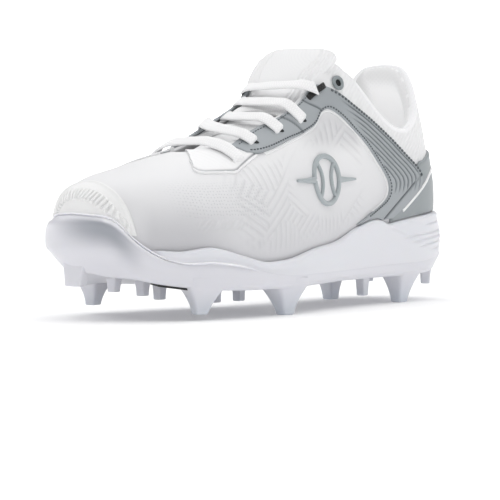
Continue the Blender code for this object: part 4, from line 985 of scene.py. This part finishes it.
def makeEyestay(word, side):  # a grey film from the first eyelets, past the collar and down to the midsole
    size = stayGrooves
    row = np.linspace(0, 18, 250)[:, None]
    part = pinched(64, 0.02)[None]
    x, z, wide = stayPoint(*np.broadcast_arrays(row, part))
    far = part * wide
    pressed = np.zeros_like(x)
    # grooves along the strap, each starting a little later than the one above it
    for k in range(size["count"]):
        line = size["first"] + size["pitch"] * k
        begin, full = (at + size["laterBy"] * k for at in size["rows"][:2])
        fade = within((begin, full) + size["rows"][2:], row) * smooth(*size["clear"], wide - line)
        pressed = np.maximum(pressed, np.exp(-(((far - line) / size["wide"]) ** 2)) * fade)
    for begin, end in size["seams"]:  # two thin seams across the lace stay
        off = (row - begin - (end - begin) * part) / size["seamWide"]
        pressed = np.maximum(pressed, size["seamDeep"] * np.exp(-(off**2)))
    run = np.subtract(size["lineTo"], size["lineFrom"])
    off = ((x - size["lineFrom"][0]) * run[1] - (z - size["lineFrom"][1]) * run[0]) / np.hypot(*run)
    pressed = np.maximum(pressed, np.exp(-((off / size["wide"]) ** 2)) * within(size["lineRows"], row))
    high = stayEdges["lift"] + stayEdges["thick"] - size["deep"] * pressed
    low = stayEdges["lift"] - size["under"]
    grids = slab(x, riseAtZ(x, z), side, low, high, marks=dict(grooves=pressed))
    makePiece(f"stay_film_{word}", grids, greyFilm, (f"eyestay_{word}",))


def makeStayBorder(word, side):  # a narrow white film that shows below the stay's lower edge
    row = np.linspace(*stayGrooves["borderRows"], 240)[:, None]
    wide = stayPoint(row, 0.5 + 0 * row)[2]
    reach = np.linspace(-stayGrooves["borderUnder"], stayGrooves["border"], 9)[None]
    x, z, _ = stayPoint(*np.broadcast_arrays(row, 1 + reach / wide))
    grids = slab(x, riseAtZ(x, z), side, 0.0, stayGrooves["borderThick"])
    makePiece(f"stay_border_{word}", grids, whiteFilm)


def stitches(path, out, pitch, size):  # a row of short rounded threads along a path, a stack of like grids
    far = np.concatenate([[0], np.cumsum(np.linalg.norm(np.diff(path, axis=0), axis=1))])
    starts = np.arange(pitch * 0.5, far[-1] - pitch, pitch)
    part = np.array([0, 0.06, 0.2, 0.5, 0.8, 0.94, 1.0])
    at = starts[:, None] + part * pitch * stayGrooves["stitchLong"]
    line = np.stack([np.interp(at, far, path[:, k]) for k in range(3)], -1)
    normal = np.stack([np.interp(at, far, out[:, k]) for k in range(3)], -1)
    run = np.gradient(line, axis=1)
    run /= np.linalg.norm(run, axis=-1, keepdims=True)
    wide = np.cross(run, normal)
    angle = np.linspace(0, 2 * math.pi, 8)
    girth = (size * np.sqrt(np.clip(1 - (2 * part - 1) ** 4, 0, 1)))[None, :, None, None]
    ring = np.cos(angle)[:, None] * wide[:, :, None] + np.sin(angle)[:, None] * normal[:, :, None]
    return dict(points=line[:, :, None] + ring * girth)


def makeStayStitching(word, side):  # a dashed row just inside both edges of the stay
    grids = []
    for rows, near, pitch, girth in stitchRows:
        row = np.linspace(*rows, 300)
        wide = stayPoint(row, 0.5 + 0 * row)[2]
        part = np.abs(near - stayGrooves["stitchIn"] / wide)
        x, z, _ = stayPoint(row, part)
        rise = riseAtZ(x, z)
        path = lifted(x, rise, side, stayEdges["lift"] + stayEdges["thick"] + 0.05)
        grids.append(stitches(path, skinNormal(x, rise, side), pitch, girth))
    makePiece(f"stay_stitching_{word}", grids, thread)


counterShape = dict(  # top edge of the heel's grey film by distance from the back
    at=(0, 12, 24, 32, 40, 44, 50, 58, 68), top=(84.5, 83.3, 80.6, 77.8, 74.6, 66, 57, 51.5, 47.5),
    thick=1.1,
)
accentShape = dict(  # a thin white line on it
    at=(0, 1, 2, 3, 4), x=(18.0, 26.5, 33.5, 44.5, 57.0), z=(73.2, 69.6, 65.0, 57.9, 50.3), wide=1.6,
    thick=0.7, sunk=0.2,
)


def makeHeelCounter():  # a grey film wrapped round the back of the heel
    end = counterShape["at"][-1]
    turn = np.linspace(-math.pi / 2, math.pi / 2, 121)
    signed = end * np.sign(turn) * (1 - np.cos(turn))
    x = np.abs(signed)[:, None]
    low = along(sole, "foam", x) + 2 * gap
    z = low + (along(counterShape, "top", x) - low) * pinched(26, 0.02)[None]
    x = np.broadcast_to(x, z.shape)
    side = np.broadcast_to(np.where(signed >= 0, 1.0, -1.0)[:, None], z.shape)
    grids = slab(x, riseAtZ(x, z), side, 0.05, gap + counterShape["thick"])
    makePiece("counter_film", grids, counterFilm, ("heel_counter",))
    row = np.linspace(0, 4, 70)
    x, z = along(accentShape, "x", row), along(accentShape, "z", row)
    low = gap + counterShape["thick"] - accentShape["sunk"]
    thick = accentShape["thick"] + accentShape["sunk"]
    for word, sign in bothSides:
        grids = bandGrids(x, z, accentShape["wide"], sign, low, thick)
        makePiece(f"counter_line_{word}", grids, whiteFilm)


def bandGrids(x, z, wide, side, low, thick):
    # a raised line through side-view places: a crowned strip on the skin
    run = np.stack([np.gradient(x), np.gradient(z)], -1)
    run /= np.linalg.norm(run, axis=1, keepdims=True)
    part = np.array([-0.5, -0.44, -0.32, -0.15, 0, 0.15, 0.32, 0.44, 0.5]) * 2
    across = part[None] * np.asarray(wide, float).reshape(-1, 1) / 2
    wideX, wideZ = x[:, None] - run[:, 1:] * across, z[:, None] + run[:, :1] * across
    high = low + thick * (edgeHigh + (1 - edgeHigh) * np.sqrt(np.clip(1 - np.abs(part) ** 4, 0, 1)))
    return slab(wideX, riseAtZ(wideX, wideZ), side, low, np.broadcast_to(high, wideX.shape))


def makeBadge():
    # a plain ball outline with seam arcs and a bar on each side, raised on the lateral quarter
    size = badgeShape
    turn = np.linspace(0, 2 * math.pi, 121)
    lines = [(size["x"] + size["radius"] * np.cos(turn), size["z"] + size["radius"] * np.sin(turn),
              size["line"])]
    squares = size["seamOff"] ** 2 + size["seamRadius"] ** 2 - size["radius"] ** 2
    reach = math.acos(squares / (2 * size["seamOff"] * size["seamRadius"]))
    for end in (1, -1):
        arc = np.linspace(-reach, reach, 50)
        x = size["x"] + end * (size["seamOff"] - size["seamRadius"] * np.cos(arc))
        lines.append((x, size["z"] + size["seamRadius"] * np.sin(arc), size["seamLine"]))
        ends = (size["radius"] - size["barUnder"], size["radius"] + size["bar"])
        bar = size["x"] + end * np.linspace(*ends, 50)
        taper = size["barLine"] * np.linspace(1, size["barTaper"], 50)
        lines.append((bar, np.full_like(bar, size["z"]), taper))
    grids = []
    for x, z, wide in lines:
        grids += bandGrids(x, z, np.broadcast_to(wide, x.shape), 1, size["low"], gap + size["thick"])
    makePiece("ball_badge", grids, badgeRubber, ("side_badge",))


# white base under the first eyelets: its lower edge, from the stay to the middle of the vamp
apronShape = dict(
    at=(0, 1.5, 1.7, 2.6, 2.8, 3.0, 3.3, 3.7, 4),
    innerX=(183, 192, 193.5, 200, 201.5, 202.5, 203.5, 204.5, 205),
    outerX=(182.6, 202.3, 205, 222.5, 225.2, 225.2, 218, 209.5, 205.6),
    outerZ=(81.2, 73.1, 72.6, 72.6, 73.2, 74.6, 78.8, 82.2, 83.2), thick=1.1, groove=2.2, grooveWide=0.55,
    grooveDeep=0.95, grooveShade=0.9, rib=3.2, ribHigh=0.12, ribFrom=(3, 5),
)


def makeApron():  # a raised film on each side of the throat's front, with a groove inside its border
    size = apronShape
    grids = []
    row = np.linspace(0, 4, 160)[:, None]
    part = pinched(44, 0.02)[None]
    names = ("innerX", "outerX", "outerZ")
    innerX, outerX, outerZ = (np.interp(row, size["at"], size[name]) for name in names)
    x = innerX + (outerX - innerX) * part
    outerRise = riseAtZ(outerX, outerZ)
    for _, side in bothSides:
        innerRise = rimRise(np.minimum(innerX, throat["front"] - 0.01), side)
        rise = innerRise + (outerRise - innerRise) * part
        far = flatUv(skin(x, rise, side))[..., 1]
        edgeFar = far[:, -1:] - far
        border = np.exp(-(((edgeFar - size["groove"]) / size["grooveWide"]) ** 2)) * size["grooveDeep"]
        ribs = ridges(x / size["rib"], 2) * size["ribHigh"] * smooth(*size["ribFrom"], edgeFar)
        marks = dict(grooves=border / size["grooveShade"])
        high = size["thick"] - border + ribs
        grids += slab(x, rise, side, 0.0, high, edges=(True, False, True, True), marks=marks)
    makePiece("eyelet_apron", grids, whiteFilm)


for word, side in bothSides:
    makeEyestay(word, side)
    makeStayBorder(word, side)
    makeStayStitching(word, side)
makeHeelCounter()
makeBadge()
makeApron()
print("overlays ready")

# Tongue and laces


# top face on its middle line, reach past the opening's edges on each side, and drop at its edges
tongueShape = dict(
    at=(110, 111, 113, 116, 118.5, 121, 124, 130, 145, 160, 175, 193, 200, 212),
    top=(140, 139.2, 137.4, 134.8, 132.3, 129.6, 126.4, 119.5, 108.5, 99.5, 91.5, 83.5, 80.5, 75.5),
    lateral=(-9, -3, 2.5, 4.5, 2.6, 0.2, -1.4, -2, -2, 0.5, 4, 4, 6, 12),
    medial=(-10, -6, -2.5, 0, 1.5, 2.5, 2, -2, -2, 0.5, 4, 4, 6, 12),
    crown=(1, 1, 1.2, 1.6, 2.4, 3.6, 5, 8, 9, 10, 10, 8, 6, 4), long=102.0, rowPower=1.4, sidePower=5,
    thick=5.0, topRound=3.5, clear=4.2, least=9.0, tuckedFrom=124.0, edgeBand=0.62, bandSoft=0.02, rib=2.2,
    ribHigh=0.8, seamWide=0.015, ribEdge=(0.99, 0.95), ribTo=(180, 150),
)


def openingMiddle(x):  # middle line of the throat and half its width
    lateral, medial = (skin(x, rimRise(x, side), side)[..., 1] for _, side in bothSides)
    return (lateral + medial) / 2, (lateral - medial) / 2


def tongueHalf(x, side):  # half the opening's width and the tongue's reach past it on that side
    return openingMiddle(x)[1] + along(tongueShape, "lateral" if side > 0 else "medial", x)


def tongueTop(x, y):  # height of the tongue's top face: a crowned strip below the opening
    middleY, half = openingMiddle(x)
    drop = along(tongueShape, "crown", x) * ((y - middleY) / np.maximum(half, tongueShape["least"])) ** 2
    return along(tongueShape, "top", x) - drop


def skinTop(x, y):  # height of the upper over a place, or -1 where the throat is open
    height = np.full(np.shape(x), -1.0)
    for _, side in bothSides:
        rise = riseAtHalf(x, np.abs(y - ridgeLine(x)[0]), side)
        there = ((y - ridgeLine(x)[0]) * side > 0) & (rise <= rimRise(x, side) + tiny)
        height = np.where(there, skin(x, rise, side)[..., 2], height)
    return height


def makeTongue():
    # a padded strip under the throat: smooth in the middle, ribbed along its edges, round at the top
    size = tongueShape
    xs = size["at"][0] + size["long"] * np.linspace(0, 1, 170) ** size["rowPower"]
    part = np.sin(np.linspace(-1, 1, 141) * math.pi / 2)
    out = np.abs(part)
    half = np.where(part > 0, tongueHalf(xs, 1)[:, None], tongueHalf(xs, -1)[:, None])
    x = np.broadcast_to(xs[:, None], half.shape)
    y = openingMiddle(x)[0] + half * part
    z = tongueTop(x, y)
    over = skinTop(x, y)
    z = np.where((over > 0) & (x > size["tuckedFrom"]), np.minimum(z, over - size["clear"]), z)
    nearTop = np.clip((xs - xs[0]) / size["topRound"], 0, 1)
    sides = np.sqrt(np.clip(1 - out ** size["sidePower"], 0, 1))
    puff = size["thick"] / 2 * sides * rounded(1 - nearTop, 2)[:, None]
    band = smooth(size["edgeBand"] - size["bandSoft"], size["edgeBand"] + size["bandSoft"], out)
    seam = np.exp(-(((out - size["edgeBand"]) / size["seamWide"]) ** 2))
    ribs = ((ridges(out * half / size["rib"], 1) - 0.5) * band - seam) * size["ribHigh"]
    ribs = ribs * smooth(*size["ribEdge"], out) * smooth(*size["ribTo"], x)
    middleZ = z - size["thick"] / 2
    top = np.stack([x, y, middleZ + puff + ribs], -1)
    bottom = np.stack([x, y, middleZ - puff], -1)
    grids = [dict(points=points, uv=flatUv(top)) for points in (top, bottom)]
    grids += [dict(points=np.stack([top[k], bottom[k]])) for k in (-1, 0)]
    tongue = makePiece("padded_tongue", grids, tongueKnit, ("tongue",))


eyelets = dict(x=(195.5, 178, 160, 142, 126.5), z=(78.5, 87.5, 93.5, 99, 115.5))
# section, clearances, part of a run that leaves each stay, eyelet depths, and how the lace lies
laceShape = dict(
    wide=8.0, thick=2.0, clear=1.0, over=2.4, slide=12.0, steps=90, near=0.12, far=0.9, tilt=0.5,
    mouth=0.6, sunk=-1.5, crown=(0.5, 0.0, 0.86), lieX=150.0, lieZ=97.0, soften=4, edgeRise=0.985,
    edgeUnder=-1.0,
)
# upper strands: lateral eyelet, medial place and rise; lower strands: medial and lateral edge
laceRuns = dict(
    eyelet=(1, 2, 3), medial=((160.0, 93.5), (143.0, 99.0), (133.0, 104.0)), rise=1.8, barRise=1.0,
    lower=((171.0, 166.0), (153.0, 147.0)),
)


def skinPoint(x, z, side, lift):  # one place on a side of the upper, moved off it
    x, z = np.array([x], float), np.array([z], float)
    return lifted(x, riseAtZ(x, z), side, lift)[0]


def edgePoint(x, side):  # a place just under the opening's edge
    x = np.array([float(x)])
    return lifted(x, rimRise(x, side) * laceShape["edgeRise"], side, laceShape["edgeUnder"])[0]


def lacePath(start, end, raised, slide):
    # a string pulled taut over tongue and stays: the lowest arch over them, its middle slid to the toe
    part = np.linspace(0, 1, laceShape["steps"])
    path = start * (1 - part[:, None]) + end * part[:, None]
    path[:, 0] += slide * np.sin(math.pi * part)
    below = np.full(len(path), -1.0)
    for off in (-laceShape["wide"] / 2, 0.0, laceShape["wide"] / 2):
        x, y = path[:, 0] + off, path[:, 1]
        cover = np.maximum(skinTop(x, y) + stayEdges["lift"] + stayEdges["thick"], tongueTop(x, y))
        below = np.maximum(below, cover + laceShape["tilt"] * off)
    below = below + laceShape["clear"] + raised
    below = np.where((part < laceShape["near"]) | (part > laceShape["far"]), path[:, 2], below)
    below[0], below[-1] = start[2], end[2]
    first, final, at = part[:, None, None], part[None, :, None], part[None, None]
    share = np.clip((at - first) / np.maximum(final - first, 1e-6), 0, 1)
    chord = below[:, None, None] * (1 - share) + below[None, :, None] * share
    path[:, 2] = np.where((first <= at) & (at <= final), chord, -1.0).max((0, 1))
    return path


def laceStrand(path, fromNormal, toNormal):
    # the flat section lies on the stays at its ends and on the tongue between
    part = np.linspace(0, 1, len(path))[:, None]
    run = np.gradient(path, axis=0)
    crown = np.array(laceShape["crown"])
    near, far = smooth(0.3, 0.0, part), smooth(0.7, 1.0, part)
    out = crown + (fromNormal - crown) * near + (toNormal - crown) * far
    across = np.cross(run, out)
    return sweep(path, across, laceShape["wide"], laceShape["thick"], count=20, square=2.6)


def softened(path):  # each inner point moved to the mean of itself and its neighbours, a few times over
    for _ in range(laceShape["soften"]):
        path[1:-1] = (path[:-2] + 2 * path[1:-1] + path[2:]) / 4
    return path


def overStrand(lateral, medial, lift, raised, slide):
    # out of a lateral eyelet, over both stays, into a medial one
    lifts = (laceShape["sunk"], laceShape["mouth"], lift)
    ends = ((lateral, 1), (medial, -1))
    near, far = ([skinPoint(*place, side, at) for at in lifts] for place, side in ends)
    return softened(np.concatenate([near[:2], lacePath(near[2], far[2], raised, slide), far[1::-1]]))


def makeLace():
    # a flat lace: a bar at the first eyelets, crossing strands, and a bar through the top loops
    size = laceShape
    grids = []
    place = np.array([size["lieX"]])
    rise = riseAtZ(place, np.array([size["lieZ"]]))
    lateral, medial = (skinNormal(place, rise, side)[0] for _, side in bothSides)
    holes = list(zip(eyelets["x"], eyelets["z"]))
    for hole, raised, slide in ((holes[0], 0.0, 0.0), (holes[-1], laceRuns["barRise"], size["slide"])):
        path = overStrand(hole, hole, size["over"] + raised, raised, slide)
        grids.append(laceStrand(path, lateral, medial))
    for medialX, lateralX in laceRuns["lower"]:
        path = softened(lacePath(edgePoint(medialX, -1), edgePoint(lateralX, 1), 0.0, 0.0))
        grids.append(laceStrand(path, medial, lateral))
    for k, end in zip(laceRuns["eyelet"], laceRuns["medial"]):
        path = overStrand(holes[k], end, size["over"], laceRuns["rise"], size["slide"])
        grids.append(laceStrand(path, lateral, medial))
    makePiece("flat_lace", grids, laceWeave, ("lace",))


laceShadowShape = dict(long=1.8, high=1.0, drop=0.1, over=0.12, crown=0.05)


def makeLaceEndShadows():  # painted shadows: dark patches that show past the lace ends
    size = laceShadowShape
    grids = []
    angle = np.linspace(0, 2 * math.pi, 25)
    radius = np.linspace(0.02, 1, 4)[:, None]
    lift = stayEdges["lift"] + stayEdges["thick"] + size["over"] + size["crown"] * (1 - radius)
    for k in laceRuns["eyelet"]:
        x = eyelets["x"][k] + radius * size["long"] * np.cos(angle)
        z = eyelets["z"][k] - size["drop"] + radius * size["high"] * np.sin(angle)
        for _, side in bothSides:
            grids.append(dict(points=lifted(x, riseAtZ(x, z), side, lift)))
    makePiece("lace_end_shadows", grids, holeShade)


loopShape = dict(wide=3.4, thick=1.5, startX=121.5, startZ=118.0, endX=132.5, endZ=110.5, rise=1.2,
                 over=1.2)


def makeLaceLoop(word, side):  # a webbing arch over the end of the top bar, sewn down at both feet
    size = loopShape
    part = np.linspace(-1, 1, 50)
    x = size["startX"] + (size["endX"] - size["startX"]) * (part + 1) / 2
    z = size["startZ"] + (size["endZ"] - size["startZ"]) * (part + 1) / 2
    rise = riseAtZ(x, z)
    path = lifted(x, rise, side, size["over"] + size["rise"] * (1 - part**4))
    up = skin(x, rise + tiny, side) - skin(x, rise - tiny, side)
    grids = [sweep(path, up, size["wide"], size["thick"], square=4)]
    makePiece(f"webbing_loop_{word}", grids, webbing, (f"lace_loop_{word}",))


grommetShape = dict(x=112.5, z=119.5, outer=3.9, inner=1.8, thick=1.1, under=0.4, sunk=0.25)


def makeGrommet(word, side):  # a rounded ring on the knit flap, with painted shade for its hole
    size = grommetShape
    angle = np.linspace(0, 2 * math.pi, 49)[:, None]
    turn = np.linspace(0, 2 * math.pi, 17)[None]
    mid, half = (size["outer"] + size["inner"]) / 2, (size["outer"] - size["inner"]) / 2
    ring = (mid + half * np.cos(turn), gap + size["thick"] * (0.5 + 0.5 * np.sin(turn)))
    hole = (np.linspace(0.01, 1, 4)[None] * (size["inner"] + size["under"]), size["sunk"])
    grids = []
    for radius, lift in (ring, hole):
        x, z = size["x"] + radius * np.cos(angle), size["z"] + radius * np.sin(angle)
        grids.append(dict(points=lifted(x, riseAtZ(x, z), side, lift)))
    makePiece(f"eyelet_ring_{word}", grids[:1], ringRubber, (f"grommet_{word}",))
    makePiece(f"eyelet_hole_shade_{word}", grids[1:], holeShade)


makeTongue()
makeLace()
makeLaceEndShadows()
for word, side in bothSides:
    makeLaceLoop(word, side)
    makeGrommet(word, side)
print("tongue and laces ready")

# Stage


cameraShape = dict(azimuth=126.0, elevation=2.5, distance=1.6, target=(155.0, 3.0, 31.6), focal=3040.0,
                   image=500.0)
studioShape = dict(floor="#FBFBFB", radius=4.0, wallHigh=0.5, wall=1.05, world=0.12, sky=3.0,
                   skyFrom=(-0.1, -0.05, 1.0), skyWide=112.0, glow=0.1)


def makeStage():  # a pale floor, a low lit backdrop round it and one broad soft light from above
    size = studioShape
    turn = np.linspace(0, 2 * math.pi, 97)
    ring = np.stack([np.cos(turn), np.sin(turn), np.zeros_like(turn)], -1) * size["radius"]
    square = np.array([[(-1.0, -1, 0), (-1, 1, 0)], [(1, -1, 0), (1, 1, 0)]]) * size["radius"]
    sheets = dict(studio_floor=square, lit_backdrop=np.stack([ring, ring + (0, 0, size["wallHigh"])]))
    pale = newMaterial("pale_floor", size["floor"], 0.95, Emission_Color=hexLinear("#FFFFFF"),
                       Emission_Strength=size["glow"])[0]
    lit = newMaterial("lit_backdrop", "#FFFFFF", 1.0, Emission_Color=hexLinear("#FFFFFF"),
                      Emission_Strength=size["wall"])[0]
    for (name, points), material in zip(sheets.items(), (pale, lit)):
        index = np.arange(points[..., 0].size).reshape(points.shape[:2])
        quads = np.stack([index[:-1, :-1], index[1:, :-1], index[1:, 1:], index[:-1, 1:]],
                         -1).reshape(-1, 4)
        mesh = bpy.data.meshes.new(name)
        mesh.from_pydata(points.reshape(-1, 3), [], quads)
        sheet = bpy.data.objects.new(name, mesh)
        bpy.context.scene.collection.objects.link(sheet)
        mesh.materials.append(material)
    world = bpy.data.worlds.new("studio")
    world.use_nodes = True
    world.node_tree.nodes["Background"].inputs["Color"].default_value = hexLinear("#FFFFFF")
    world.node_tree.nodes["Background"].inputs["Strength"].default_value = size["world"]
    bpy.context.scene.world = world
    data = bpy.data.lights.new("sky_panel", "SUN")
    data.energy, data.angle = size["sky"], math.radians(size["skyWide"])
    panel = bpy.data.objects.new("sky_panel", data)
    panel.rotation_euler = (-Vector(size["skyFrom"])).to_track_quat("-Z", "Y").to_euler()
    bpy.context.scene.collection.objects.link(panel)


def makeCamera():  # at the photograph's angle, its lens from the focal length in pixels
    turn, lean = math.radians(cameraShape["azimuth"]), math.radians(cameraShape["elevation"])
    back = Vector((math.sin(turn) * math.cos(lean), -math.cos(turn) * math.cos(lean), math.sin(lean)))
    data = bpy.data.cameras.new("camera")
    data.sensor_width = 36.0
    data.lens = cameraShape["focal"] / cameraShape["image"] * data.sensor_width
    camera = bpy.data.objects.new("camera", data)
    camera.location = Vector(toFrame(cameraShape["target"])) + back * cameraShape["distance"]
    camera.rotation_euler = (-back).to_track_quat("-Z", "Y").to_euler()
    bpy.context.scene.collection.objects.link(camera)
    bpy.context.scene.camera = camera
    bpy.context.scene.view_settings.view_transform = "Standard"


makeStage()
makeCamera()
print("stage ready")
